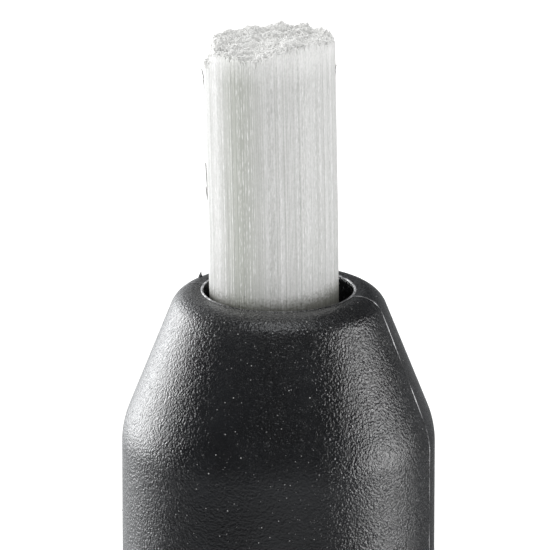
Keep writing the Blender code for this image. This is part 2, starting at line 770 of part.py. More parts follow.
def ferrule():
    obj = turned(
        [
            (FERRULE_RADIUS, FERRULE_FRONT_Z),
            *crimped(FERRULE_RADIUS),
            (FERRULE_RADIUS, FERRULE_REAR_Z),
            (FERRULE_INNER_RADIUS, FERRULE_REAR_Z),
            *reversed(crimped(FERRULE_INNER_RADIUS)),
            (FERRULE_INNER_RADIUS, FERRULE_FRONT_Z),
        ],
        steps=SMALL_STEPS,
    )
    return as_node(obj, "ferrule", ALUMINIUM)


def resin_plug():
    """The cast plug that bonds the fibres' rear ends inside the ferrule."""
    radius = FERRULE_INNER_RADIUS - SEAT_GAP
    obj = turned(
        [
            (0.0, RESIN_REAR_Z + RESIN_THICKNESS),
            (radius, RESIN_REAR_Z + RESIN_THICKNESS),
            (radius, RESIN_REAR_Z),
            (0.0, RESIN_REAR_Z),
        ],
        steps=SMALL_STEPS,
    )
    return as_node(obj, "resin_plug", RESIN)


def fibre_bundle():
    """The bundle of glass fibres as one round solid, narrower where the ferrule grips it."""
    gripped = FERRULE_INNER_RADIUS - SEAT_GAP
    neck_z = FERRULE_FRONT_Z + SEAT_GAP
    rear_z = RESIN_REAR_Z + RESIN_THICKNESS + SEAT_GAP
    obj = turned(
        [
            (0.0, BRUSH_TIP_Z),
            (BRUSH_RADIUS, BRUSH_TIP_Z, 0.05 * MM),
            (BRUSH_RADIUS, neck_z),
            (gripped, neck_z),
            *crimped(gripped),
            (gripped, rear_z),
            (0.0, rear_z),
        ],
        steps=SMALL_STEPS,
    )
    return as_node(obj, "fibre_bundle", GLASS_FIBRE)


# Build ----------------------------------------------------------------------------------------

clear_scene()
PIECES = new_collection("glass_fibre_brush_pen")
CUTTERS = new_collection("cutters")

BLACK_GRAINED = material("black_grained_plastic", (0.012, 0.012, 0.013), 0.42)
BLACK_SMOOTH = material("black_smooth_plastic", (0.014, 0.014, 0.015), 0.3)
GREY_SATIN = material("grey_satin_plastic", (0.16, 0.165, 0.17), 0.4)
WHITE_ACETAL = material("white_acetal", (0.78, 0.77, 0.72), 0.35)
CHROMED = material("chromed_steel", (0.62, 0.63, 0.65), 0.15, 1.0)
STEEL = material("plain_steel", (0.5, 0.5, 0.51), 0.3, 1.0)
BRASS = material("brass", (0.7, 0.5, 0.2), 0.3, 1.0)
ALUMINIUM = material("aluminium", (0.75, 0.76, 0.77), 0.28, 1.0)
RUBBER = material("black_rubber", (0.02, 0.02, 0.02), 0.7)
RESIN = material("cast_resin", (0.75, 0.6, 0.3), 0.25)
GLASS_FIBRE = material("glass_fibre", (0.8, 0.81, 0.79), 0.35)

for make in (
    barrel,
    guide_tube,
    end_bush,
    clip_ring,
    friction_o_ring,
    pocket_clip,
    twist_knob,
    end_cap,
    lead_screw,
    stop_ring,
    knob_screw,
    lock_washer,
    spring_washer,
    thrust_washer,
    carrier_nut,
    push_tube,
    refill_holder,
    ferrule,
    resin_plug,
    fibre_bundle,
):
    make()
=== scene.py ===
"""Looks of the glass-fibre brush pen, built around its CAD model.

Metres, +Z along the pen towards the brush. Pieces that show get a fine mesh in place of the plain
CAD one, and every piece gets a procedural material.
"""

import json
from math import acos, atan2, cos, pi, radians, sin, sqrt, tan

import bmesh
import bpy
import numpy as np
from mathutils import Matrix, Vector

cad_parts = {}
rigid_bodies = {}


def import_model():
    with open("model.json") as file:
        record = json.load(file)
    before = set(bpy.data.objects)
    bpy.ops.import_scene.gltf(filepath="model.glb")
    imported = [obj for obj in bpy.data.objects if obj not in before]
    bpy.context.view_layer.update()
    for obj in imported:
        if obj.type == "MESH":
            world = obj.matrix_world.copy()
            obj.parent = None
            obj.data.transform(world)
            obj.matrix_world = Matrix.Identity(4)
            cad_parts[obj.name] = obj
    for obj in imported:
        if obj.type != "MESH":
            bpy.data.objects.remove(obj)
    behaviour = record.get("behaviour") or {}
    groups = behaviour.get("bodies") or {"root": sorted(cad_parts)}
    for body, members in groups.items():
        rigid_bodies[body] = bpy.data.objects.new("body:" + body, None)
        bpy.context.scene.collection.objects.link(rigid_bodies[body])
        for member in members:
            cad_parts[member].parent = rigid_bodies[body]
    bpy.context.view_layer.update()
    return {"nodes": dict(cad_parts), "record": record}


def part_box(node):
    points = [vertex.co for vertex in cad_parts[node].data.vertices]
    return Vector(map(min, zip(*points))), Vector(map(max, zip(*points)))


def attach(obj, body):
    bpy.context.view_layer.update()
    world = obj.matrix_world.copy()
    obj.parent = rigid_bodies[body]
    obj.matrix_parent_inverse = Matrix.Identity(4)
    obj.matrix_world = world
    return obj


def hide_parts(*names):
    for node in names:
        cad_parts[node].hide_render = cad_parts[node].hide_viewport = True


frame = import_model()

MM = 0.001
NODES = frame["nodes"]

# Directions seen from above: the view comes from FRONT, and SIDE points to its right.
VIEW_AZIMUTH = radians(16.0)
VIEW_ELEVATION = radians(17.0)
FRONT = Vector((sin(VIEW_AZIMUTH), -cos(VIEW_AZIMUTH), 0.0))
SIDE = Vector((cos(VIEW_AZIMUTH), sin(VIEW_AZIMUTH), 0.0))

NOSE_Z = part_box("barrel")[1].z
BARREL_REAR_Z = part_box("barrel")[0].z
BARREL_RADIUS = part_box("barrel")[1].x
BRUSH_TOP_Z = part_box("fibre_bundle")[1].z
BRUSH_REAR_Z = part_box("fibre_bundle")[0].z
BRUSH_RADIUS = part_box("fibre_bundle")[1].x


# Mesh helpers ---------------------------------------------------------------------------------


def new_object(name, verts, faces, smooth=True):
    mesh = bpy.data.meshes.new(name)
    mesh.from_pydata([tuple(v) for v in verts], [], [tuple(f) for f in faces])
    mesh.update()
    if smooth:
        mesh.shade_smooth()
    obj = bpy.data.objects.new(name, mesh)
    bpy.context.scene.collection.objects.link(obj)
    return obj


def rounded(corners, arc_steps, closed=True):
    """The corners (u, v) or (u, v, radius) as a path in which each radius becomes a tangent arc."""
    path = []
    for i, corner in enumerate(corners):
        point = Vector(corner[:2])
        radius = corner[2] if len(corner) > 2 else 0.0
        if not radius or (not closed and i in (0, len(corners) - 1)):
            path.append(point)
            continue
        back = (Vector(corners[i - 1][:2]) - point).normalized()
        ahead = (Vector(corners[(i + 1) % len(corners)][:2]) - point).normalized()
        half = back.angle(ahead) / 2
        centre = point + (back + ahead).normalized() * (radius / sin(half))
        reach = radius / tan(half)
        first = point + back * reach - centre
        last = point + ahead * reach - centre
        start = atan2(first.y, first.x)
        sweep = (atan2(last.y, last.x) - start + pi) % (2 * pi) - pi
        for step in range(arc_steps + 1):
            angle = start + sweep * step / arc_steps
            path.append(centre + Vector((cos(angle), sin(angle))) * radius)
    return path


def split_long(path, longest, closed=True):
    """The path with points added so that no stretch is longer than longest."""
    points = []
    last = len(path) if closed else len(path) - 1
    for i in range(last):
        a, b = path[i], path[(i + 1) % len(path)]
        parts = max(1, int(np.ceil((b - a).length / longest)))
        points += [a.lerp(b, k / parts) for k in range(parts)]
    if not closed:
        points.append(path[-1])
    return points


def grid_faces(rows, columns, wrap_rows):
    """Quads of a grid whose columns wrap round, row by row."""
    last = rows if wrap_rows else rows - 1
    return [
        (
            i * columns + j,
            ((i + 1) % rows) * columns + j,
            ((i + 1) % rows) * columns + (j + 1) % columns,
            i * columns + (j + 1) % columns,
        )
        for i in range(last)
        for j in range(columns)
    ]


def turned(name, corners, steps=128, arc_steps=8, longest=3 * MM, sharp=radians(40.0)):
    """A turned piece from (radius, z, fillet) corners that run down its outer side.

    A profile that starts and ends on the axis is a solid; any other closes into a ring.
    """
    ring = corners[0][0] > 0
    path = split_long(rounded(corners, arc_steps, closed=ring), longest, closed=ring)
    shape = bmesh.new()
    verts = [shape.verts.new((p.x, 0.0, p.y)) for p in path]
    count = len(verts)
    last = count if ring else count - 1
    edges = [shape.edges.new((verts[i], verts[(i + 1) % count])) for i in range(last)]
    bmesh.ops.spin(
        shape,
        geom=verts + edges,
        cent=(0.0, 0.0, 0.0),
        axis=(0.0, 0.0, 1.0),
        angle=2 * pi,
        steps=steps,
        use_merge=True,
    )
    bmesh.ops.remove_doubles(shape, verts=shape.verts, dist=0.0005 * MM)
    bmesh.ops.recalc_face_normals(shape, faces=shape.faces)
    mesh = bpy.data.meshes.new(name)
    shape.to_mesh(mesh)
    shape.free()
    mesh.shade_smooth()
    mesh.set_sharp_from_angle(angle=sharp)
    obj = bpy.data.objects.new(name, mesh)
    bpy.context.scene.collection.objects.link(obj)
    return obj


def face_outward(obj):
    """Turns the faces of a closed mesh outwards."""
    shape = bmesh.new()
    shape.from_mesh(obj.data)
    bmesh.ops.recalc_face_normals(shape, faces=shape.faces)
    shape.to_mesh(obj.data)
    shape.free()


def smooth_step(share):
    return share * share * (3 - 2 * share)


def set_attribute(obj, name, values):
    attribute = obj.data.attributes.new(name, "FLOAT", "POINT")
    attribute.data.foreach_set("value", np.asarray(values, np.float32))


# Material helpers -----------------------------------------------------------------------------


class Shader:
    """A material's node tree, with short calls for the nodes used here."""

    def __init__(self, name, colour, roughness, metallic=0.0, **sockets):
        self.material = bpy.data.materials.new(name)
        self.material.use_nodes = True
        self.tree = self.material.node_tree
        self.shader = self.tree.nodes["Principled BSDF"]
        self.shader.inputs["Base Color"].default_value = (*colour, 1.0)
        self.shader.inputs["Roughness"].default_value = roughness
        self.shader.inputs["Metallic"].default_value = metallic
        for socket, value in sockets.items():
            self.shader.inputs[socket.replace("_", " ")].default_value = value
        self.place = self.node("ShaderNodeTexCoord").outputs["Object"]

    def node(self, kind, **settings):
        made = self.tree.nodes.new(kind)
        for key, value in settings.items():
            setattr(made, key, value)
        return made

    def link(self, source, target):
        self.tree.links.new(source, target)

    def stretched(self, scale):
        """The object's coordinates scaled along X, Y and Z."""
        mapping = self.node("ShaderNodeMapping")
        self.link(self.place, mapping.inputs["Vector"])
        mapping.inputs["Scale"].default_value = scale
        return mapping.outputs["Vector"]

    def noise(self, size, detail=3.0, rough=0.5, place=None):
        """Noise with features of that size in metres."""
        made = self.node("ShaderNodeTexNoise")
        self.link(place or self.place, made.inputs["Vector"])
        made.inputs["Scale"].default_value = 1.0 / size
        made.inputs["Detail"].default_value = detail
        made.inputs["Roughness"].default_value = rough
        return made.outputs["Fac"]

    def cells(self, size):
        """Distances from the centres of cells of that size in metres."""
        made = self.node("ShaderNodeTexVoronoi", feature="F1")
        self.link(self.place, made.inputs["Vector"])
        made.inputs["Scale"].default_value = 1.0 / size
        return made.outputs["Distance"]

    def spread(self, value, low, high, from_low=0.3, from_high=0.7):
        """A value remapped to low..high."""
        made = self.node("ShaderNodeMapRange")
        self.link(value, made.inputs["Value"])
        made.inputs["From Min"].default_value = from_low
        made.inputs["From Max"].default_value = from_high
        made.inputs["To Min"].default_value = low
        made.inputs["To Max"].default_value = high
        return made.outputs["Result"]

    def maths(self, operation, a, b):
        made = self.node("ShaderNodeMath", operation=operation)
        for socket, value in zip(made.inputs, (a, b)):
            if isinstance(value, (int, float)):
                socket.default_value = value
            else:
                self.link(value, socket)
        return made.outputs["Value"]

    def colours(self, factor, low, high):
        """A mix of two plain colours."""
        made = self.node("ShaderNodeMix", data_type="RGBA")
        self.link(factor, made.inputs["Factor"])
        made.inputs["A"].default_value = (*low, 1.0)
        made.inputs["B"].default_value = (*high, 1.0)
        return made.outputs["Result"]

    def over(self, factor, base, colour):
        """base with a plain colour laid over it by factor."""
        made = self.node("ShaderNodeMix", data_type="RGBA")
        self.link(factor, made.inputs["Factor"])
        self.link(base, made.inputs["A"])
        made.inputs["B"].default_value = (*colour, 1.0)
        return made.outputs["Result"]

    def attribute(self, name):
        return self.node("ShaderNodeAttribute", attribute_name=name).outputs["Fac"]

    def colour(self, source):
        self.link(source, self.shader.inputs["Base Color"])

    def roughness(self, source):
        self.link(source, self.shader.inputs["Roughness"])

    def bump(self, height, depth):
        """Raises the surface by height times depth, in metres."""
        made = self.node("ShaderNodeBump")
        self.link(height, made.inputs["Height"])
        made.inputs["Distance"].default_value = depth
        self.link(made.outputs["Normal"], self.shader.inputs["Normal"])


# Materials ------------------------------------------------------------------------------------


def grained_black():
    """Black moulded plastic with a spark-eroded grain, a few specks of dust, painted sparkle, pale edges
    with a painted highlight round the hole, and glass dust with painted light in the bore.
    """
    m = Shader("grained_black_plastic", (0.012, 0.012, 0.013), 0.3, IOR=1.5)
    coarse = m.noise(0.078 * MM, detail=1.0)
    fine = m.noise(0.045 * MM, detail=1.0)
    height = m.maths("ADD", m.maths("MULTIPLY", coarse, 0.75), m.maths("MULTIPLY", fine, 0.35))
    m.bump(m.maths("MULTIPLY", height, m.attribute("grain")), 0.036 * MM)
    cloud = m.noise(1.5 * MM, detail=4.0)
    base = m.colours(m.spread(cloud, 0.0, 1.0), (0.0062, 0.0064, 0.0072), (0.0105, 0.0112, 0.0128))
    speck = m.spread(m.cells(0.19 * MM), 1.0, 0.0, 0.06, 0.12)
    dusty = m.spread(m.noise(0.4 * MM), 0.1, 1.0, 0.44, 0.7)
    base = m.over(m.maths("MULTIPLY", speck, dusty), base, (0.6, 0.6, 0.59))
    # Painted sparkle: grey dots in patches, standing in for glints off the grain.
    glitter = m.spread(m.cells(0.14 * MM), 1.0, 0.0, 0.07, 0.14)
    patchy = m.spread(m.noise(0.2 * MM), 0.0, 1.0, 0.5, 0.72)
    base = m.over(m.maths("MULTIPLY", glitter, patchy), base, (0.2, 0.2, 0.2))
    powder = m.spread(m.noise(0.05 * MM, detail=2.0), 0.12, 1.0, 0.47, 0.64)
    # Glass dust round the hole; inside the bore this is also painted light.
    base = m.over(m.maths("MULTIPLY", powder, m.attribute("dust")), base, (0.3, 0.3, 0.29))
    flaked = m.spread(m.noise(0.07 * MM, detail=2.0), 0.4, 1.0, 0.38, 0.52)
    # Pale edges: the seam's crest and the burrs are pale, and the flash round the hole gets a painted
    # highlight.
    m.colour(m.over(m.maths("MULTIPLY", m.attribute("worn"), flaked), base, (0.8, 0.8, 0.82)))
    m.roughness(m.spread(m.noise(0.3 * MM), 0.17, 0.3))
    return m.material


def plain(name, colour, roughness, tint, gloss, relief, gloss_detail=3.0, **sockets):
    """A material with slight noise in its colour, its gloss and its surface.

    tint and gloss are (size, low, high), and relief is (size, depth).
    """
    m = Shader(name, colour, roughness, **sockets)
    m.colour(m.colours(m.spread(m.noise(tint[0]), 0.0, 1.0), *tint[1:]))
    m.roughness(m.spread(m.noise(gloss[0], detail=gloss_detail), *gloss[1:]))
    m.bump(m.noise(relief[0]), relief[1])
    return m.material


def metal(name, low, high, roughness, grain, depth):
    """A metal whose tool marks run round the pen: fine noise squeezed along Z."""
    m = Shader(name, high, roughness, metallic=1.0)
    marks = m.noise(0.4 * MM, detail=3.0, place=m.stretched((1.0, 1.0, grain)))
    m.colour(m.colours(m.spread(m.noise(1.5 * MM), 0.0, 1.0), low, high))
    m.roughness(m.spread(marks, roughness * 0.75, roughness * 1.35))
    m.bump(marks, depth)
    return m.material


def chromed():
    """Bright plating with faint wipe marks, a slight orange peel and the dark rim of a polished edge."""
    m = Shader("chromed_metal", (0.6, 0.61, 0.63), 0.12, metallic=1.0, Specular_Tint=(0.08, 0.08, 0.09, 1.0))
    wiped = m.noise(0.9 * MM, detail=6.0, rough=0.65, place=m.stretched((1.0, 1.0, 0.25)))
    m.colour(m.colours(m.spread(wiped, 0.0, 1.0), (0.5, 0.51, 0.53), (0.62, 0.63, 0.65)))
    m.roughness(m.spread(wiped, 0.07, 0.2))
    m.bump(m.noise(0.5 * MM, detail=2.0), 0.002 * MM)
    return m.material


def glass_fibre():
    """White glassy strands, each with its own tone, with painted shade down one side and where they go into
    the hole, painted glints, painted light on the end face, paler near the top and painted dark on the stray
    fibres.
    """
    m = Shader("glass_fibre", (0.7, 0.7, 0.68), 0.4, IOR=1.5)
    m.shader.inputs["Specular IOR Level"].default_value = 0.35
    streak = m.noise(0.03 * MM, detail=2.0, place=m.stretched((1.0, 1.0, 0.06)))
    broad = m.noise(0.5 * MM, detail=2.0, place=m.stretched((1.0, 1.0, 0.12)))
    grain = m.noise(0.05 * MM, detail=1.0, place=m.stretched((1.0, 1.0, 0.6)))
    tone = m.maths("ADD", m.maths("MULTIPLY", streak, 0.4), m.maths("MULTIPLY", broad, 0.25))
    tone = m.maths("ADD", tone, m.maths("MULTIPLY", grain, 0.35))
    tone = m.maths("ADD", m.maths("MULTIPLY", tone, 0.8), m.maths("MULTIPLY", m.attribute("strand"), 0.2))
    base = m.colours(m.spread(tone, 0.0, 1.0), (0.46, 0.465, 0.45), (0.71, 0.71, 0.705))
    # Painted shade: a darker band down the bundle's side, left of front.
    base = m.over(m.maths("MULTIPLY", m.attribute("shade"), 0.8), base, (0.4, 0.415, 0.375))
    # Painted glints: short white flecks on some strands, standing in for highlights.
    sparkle = m.noise(0.04 * MM, detail=2.0, place=m.stretched((1.0, 1.0, 0.2)))
    sparkle = m.maths("MULTIPLY", m.spread(sparkle, 0.0, 0.75, 0.45, 0.7), m.attribute("glint"))
    base = m.over(sparkle, base, (0.92, 0.92, 0.92))
    # Painted light: the end face's strands and the core are paler, lifting the shade between the strands.
    base = m.over(m.attribute("pale"), base, (0.94, 0.94, 0.93))
    # Painted dark for the stray fibres, standing in for the light that thin glass fibres bend away.
    base = m.over(m.attribute("dark"), base, (0.07, 0.07, 0.06))
    height = m.node("ShaderNodeSeparateXYZ")
    m.link(m.place, height.inputs["Vector"])
    # Paler within the top millimetre of the bundle's sides, broken up by the grain.
    frayed = m.spread(height.outputs["Z"], 0.0, 0.75, BRUSH_TOP_Z - 1.0 * MM, BRUSH_TOP_Z - 0.25 * MM)
    base = m.over(m.maths("MULTIPLY", frayed, m.spread(grain, 0.5, 1.0)), base, (0.8, 0.8, 0.79))
    # Painted shade: the strands darken where they go into the hole, reaching higher on the right, with a
    # ragged edge.
    ragged = m.maths("MULTIPLY", m.noise(0.07 * MM), 0.7 * MM)
    reach = m.maths("MULTIPLY", m.attribute("soil"), 0.22 * MM)
    low = m.maths("SUBTRACT", m.maths("SUBTRACT", height.outputs["Z"], ragged), reach)
    rubbed = m.spread(low, 0.75, 0.0, NOSE_Z - 0.5 * MM, NOSE_Z - 0.02 * MM)
    gripped = m.spread(height.outputs["Z"], 0.0, 1.0, NOSE_Z - 2.0 * MM, NOSE_Z - 0.5 * MM)
    m.colour(m.over(m.maths("MULTIPLY", rubbed, gripped), base, (0.06, 0.06, 0.035)))
    m.roughness(m.spread(m.noise(0.1 * MM), 0.28, 0.5))
    return m.material


BLACK_GRAINED = grained_black()
BLACK_SMOOTH = plain(
    "smooth_black_plastic",
    (0.014, 0.014, 0.015),
    0.3,
    (2 * MM, (0.011, 0.011, 0.012), (0.02, 0.02, 0.021)),
    (0.8 * MM, 0.22, 0.38),
    (0.12 * MM, 0.006 * MM),
    gloss_detail=5.0,
    IOR=1.5,
)
GREY_SATIN = plain(
    "grey_satin_plastic",
    (0.16, 0.165, 0.17),
    0.4,
    (1.2 * MM, (0.14, 0.145, 0.15), (0.19, 0.195, 0.2)),
    (0.5 * MM, 0.34, 0.48),
    (0.08 * MM, 0.004 * MM),
)
WHITE_ACETAL = plain(
    "white_acetal",
    (0.8, 0.79, 0.74),
    0.35,
    (1.5 * MM, (0.74, 0.73, 0.68), (0.84, 0.83, 0.79)),
    (0.4 * MM, 0.28, 0.42),
    (0.1 * MM, 0.004 * MM),
    Subsurface_Weight=0.15,
    Subsurface_Scale=0.5 * MM,
)
CHROMED = chromed()
STEEL = metal("plain_steel", (0.42, 0.42, 0.43), (0.55, 0.55, 0.56), 0.3, 6.0, 0.003 * MM)
BRASS = metal("brass", (0.62, 0.43, 0.16), (0.76, 0.56, 0.25), 0.28, 0.2, 0.002 * MM)
ALUMINIUM = metal("aluminium", (0.7, 0.71, 0.72), (0.8, 0.81, 0.82), 0.26, 6.0, 0.002 * MM)
RUBBER = plain(
    "black_rubber",
    (0.02, 0.02, 0.02),
    0.7,
    (0.6 * MM, (0.015, 0.015, 0.015), (0.03, 0.03, 0.03)),
    (0.2 * MM, 0.6, 0.8),
    (0.06 * MM, 0.004 * MM),
)
RESIN = plain(
    "cast_resin",
    (0.75, 0.6, 0.3),
    0.2,
    (0.7 * MM, (0.7, 0.5, 0.22), (0.82, 0.68, 0.4)),
    (0.3 * MM, 0.12, 0.28),
    (0.5 * MM, 0.01 * MM),
    Subsurface_Weight=0.3,
    Subsurface_Scale=0.6 * MM,
)
GLASS_FIBRE = glass_fibre()

FINISHES = {
    "grained_black_plastic": BLACK_GRAINED,
    "smooth_black_plastic": BLACK_SMOOTH,
    "grey_plastic": GREY_SATIN,
    "white_acetal": WHITE_ACETAL,
    "chromed_metal": CHROMED,
    "plain_steel": STEEL,
    "brass": BRASS,
    "aluminium": ALUMINIUM,
    "black_rubber": RUBBER,
    "cast_resin": RESIN,
    "glass_fibre": GLASS_FIBRE,
}


def put_on(piece, body, slot, *nodes):
    """Gives a new piece its finish, its body and the CAD nodes that it stands for."""
    piece.data.materials.clear()
    piece.data.materials.append(FINISHES[slot])
    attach(piece, body)
    if nodes:
        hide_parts(*nodes)
    return piece


def finish_cad_nodes():
    for part in frame["record"]["subparts"]:
        node = NODES[part["node"]]
        node.data.materials.clear()
        node.data.materials.append(FINISHES[part["material_slot"]])


# Camera, light and floor ----------------------------------------------------------------------

LENS = 600.0  # mm, on a 36 mm sensor
VIEW_WIDTH = 16.78 * MM
VIEW_RISE = 0.47 * MM  # the view's centre above the nose's face
VIEW_SHIFT = -0.107 * MM  # and to the left of the pen's axis

# Area lights: name, azimuth and elevation in degrees, distance and size in metres, watts.
SHEENS = (
    ("sheen_left", -122, 5, 0.4, (0.34, 0.23), 1.25),
    ("sheen_right", 84, 0, 0.45, (0.25, 0.36), 2.35),
)
SOFT_LIGHTS = (
    ("key_left", -105, 20, 0.4, (0.2, 0.3), 1.4),
    ("fill_right", 80, 20, 0.45, (0.3, 0.3), 0.25),
    ("fill_top", 180, 80, 0.45, (0.3, 0.3), 0.9),
)
BACKGROUND_LEVEL = 1.05
DIFFUSE_LEVEL = 0.8
FLOOR_GLOW = 0.34


def add_camera():
    data = bpy.data.cameras.new("camera")
    data.lens = LENS
    data.clip_start = 0.01
    data.clip_end = 100.0
    camera = bpy.data.objects.new("camera", data)
    bpy.context.scene.collection.objects.link(camera)
    target = Vector((0.0, 0.0, NOSE_Z + VIEW_RISE)) + SIDE * VIEW_SHIFT
    back = FRONT * cos(VIEW_ELEVATION) + Vector((0.0, 0.0, sin(VIEW_ELEVATION)))
    camera.location = target + back * (VIEW_WIDTH * LENS / data.sensor_width)
    camera.rotation_euler = back.to_track_quat("Z", "Y").to_euler()
    bpy.context.scene.camera = camera


def from_front(azimuth):
    """The level direction at an azimuth that counts from FRONT and is positive towards SIDE."""
    return FRONT * cos(azimuth) + SIDE * sin(azimuth)


def aimed(azimuth, elevation):
    """The direction at an azimuth from FRONT and an elevation, both in degrees."""
    level = from_front(radians(azimuth)) * cos(radians(elevation))
    return level + Vector((0.0, 0.0, sin(radians(elevation))))


def add_softbox(name, azimuth, elevation, distance, size, power, glossy=True, diffuse=True):
    """An area light aimed at the nose, seen in reflections, in diffuse light or in both."""
    data = bpy.data.lights.new(name, "AREA")
    data.shape = "RECTANGLE"
    data.size, data.size_y = size
    data.energy = power
    light = bpy.data.objects.new(name, data)
    bpy.context.scene.collection.objects.link(light)
    back = aimed(azimuth, elevation)
    light.location = Vector((0.0, 0.0, NOSE_Z)) + back * distance
    light.rotation_euler = back.to_track_quat("Z", "Y").to_euler()
    light.visible_camera = False
    light.visible_glossy = glossy
    light.visible_diffuse = diffuse
    return light


def add_world():
    """White all round, but a shaped room in reflections, dark in front so that black keeps its depth."""
    world = bpy.data.worlds.new("studio")
    world.use_nodes = True
    bpy.context.scene.world = world
    tree = world.node_tree
    plain = tree.nodes["Background"]
    plain.inputs["Color"].default_value = (1.0, 1.0, 1.0, 1.0)
    direction = tree.nodes.new("ShaderNodeTexCoord").outputs["Generated"]

    def along(axis, low, high, from_low, from_high):
        """low..high as the direction's part along axis goes from from_low to from_high."""
        part = tree.nodes.new("ShaderNodeVectorMath")
        part.operation = "DOT_PRODUCT"
        tree.links.new(direction, part.inputs[0])
        part.inputs[1].default_value = axis
        ramp = tree.nodes.new("ShaderNodeMapRange")
        ramp.interpolation_type = "SMOOTHSTEP"
        tree.links.new(part.outputs["Value"], ramp.inputs["Value"])
        ends = {"From Min": from_low, "From Max": from_high, "To Min": low, "To Max": high}
        for socket, value in ends.items():
            ramp.inputs[socket].default_value = value
        return ramp.outputs["Result"]

    def total(*parts):
        result = parts[0]
        for part in parts[1:]:
            adder = tree.nodes.new("ShaderNodeMath")
            tree.links.new(result, adder.inputs[0])
            tree.links.new(part, adder.inputs[1])
            result = adder.outputs["Value"]
        return result

    window = along(aimed(-135, 0), 0.02, 2.8, 0.84, 0.98)
    window_surround = along(aimed(-140, 0), 0.0, 0.8, 0.68, 0.9)
    overhead = along(aimed(0, 73), 0.0, 5.0, 0.94, 0.985)
    low_right = along(aimed(150, -15), 0.0, 0.3, 0.78, 0.97)
    walls = total(window, window_surround, overhead, low_right)
    table_shade = along(-SIDE, 0.14, 0.08, 0.0, 0.9)
    table_patch = along(aimed(-150, 0), 0.0, 0.7, 0.6, 0.95)
    table = total(table_shade, table_patch)
    down = Vector((0.0, 0.0, -1.0))
    glow = tree.nodes.new("ShaderNodeMath")
    glow.operation = "MULTIPLY"
    tree.links.new(along(aimed(8, 0), 0.0, 0.28, 0.8, 0.95), glow.inputs[0])
    tree.links.new(along(down, 0.0, 1.0, -0.3, -0.2), glow.inputs[1])
    level = tree.nodes.new("ShaderNodeMix")
    tree.links.new(along(down, 0.0, 1.0, 0.15, 0.28), level.inputs["Factor"])
    tree.links.new(walls, level.inputs["A"])
    tree.links.new(table, level.inputs["B"])
    mirrored = tree.nodes.new("ShaderNodeBackground")
    mirrored.inputs["Color"].default_value = (0.96, 0.98, 1.0, 1.0)
    strength = total(level.outputs["Result"], glow.outputs["Value"], along(down, 0.0, 0.5, 0.33, 0.45))
    tree.links.new(strength, mirrored.inputs["Strength"])

    path = tree.nodes.new("ShaderNodeLightPath")
    seen = tree.nodes.new("ShaderNodeMapRange")
    tree.links.new(path.outputs["Is Camera Ray"], seen.inputs["Value"])
    seen.inputs["To Min"].default_value = DIFFUSE_LEVEL
    seen.inputs["To Max"].default_value = BACKGROUND_LEVEL
    tree.links.new(seen.outputs["Result"], plain.inputs["Strength"])
    pick = tree.nodes.new("ShaderNodeMixShader")
    tree.links.new(path.outputs["Is Glossy Ray"], pick.inputs["Fac"])
    tree.links.new(plain.outputs["Background"], pick.inputs[1])
    tree.links.new(mirrored.outputs["Background"], pick.inputs[2])
    tree.links.new(pick.outputs["Shader"], tree.nodes["World Output"].inputs["Surface"])


def keep_off_chrome(lights):
    """Lets lights fall on every piece but the chromed ones, whose shape they would wash out."""
    lit = bpy.data.collections.new("lit_by_sheens")
    for obj in bpy.context.scene.objects:
        if obj.type == "MESH" and CHROMED not in list(obj.data.materials):
            lit.objects.link(obj)
    for light in lights:
        light.light_linking.receiver_collection = lit


def add_floor():
    bpy.ops.mesh.primitive_plane_add(size=40.0)
    floor = bpy.context.object
    floor.name = "floor"
    pale = Shader("pale_floor", (0.85, 0.85, 0.85), 0.9, Emission_Strength=FLOOR_GLOW)
    pale.shader.inputs["Emission Color"].default_value = (1.0, 1.0, 1.0, 1.0)
    pale.shader.inputs["Specular IOR Level"].default_value = 0.0
    floor.data.materials.append(pale.material)
    floor.visible_glossy = False


# Barrel ---------------------------------------------------------------------------------------

HOLE_RADIUS = 2.3 * MM
NOSE_RADIUS = 3.1 * MM
NOSE_ANGLE = radians(21.6)
BORE_RADIUS = 3.5 * MM
GUIDE_SEAT_Z = NOSE_Z - 5.5 * MM
GUIDE_BORE_RADIUS = 2.95 * MM
THROAT_Z = NOSE_Z - 4.3 * MM
SEAM_HALF_WIDTH = 0.03 * MM
SEAM_HEIGHT = 0.013 * MM
SEAM_STEPS = (-2.0, -0.9, -0.4, 0.4, 0.9, 2.0)  # columns at the parting line, in half widths
SEAM_PALE_ON_SIDES = 0.45
LIP_HEIGHT = 0.03 * MM
LIP_WIDTH = 0.075 * MM
LIP_STEPS = 6
LIP_GRAIN = 0.3
FLATTENED_UPWARDS = 0.15  # share of the grain's depth that faces pointing up have lost
BURR_WEAR = 0.12
BURR_GRAIN = 0.5
DUST_AZIMUTH = radians(-35.0)
DUST_REACH = 0.45 * MM
BARREL_COLUMNS = 240
NOSE_SPACING = 0.2 * MM
BARREL_SPACING = 3.0 * MM


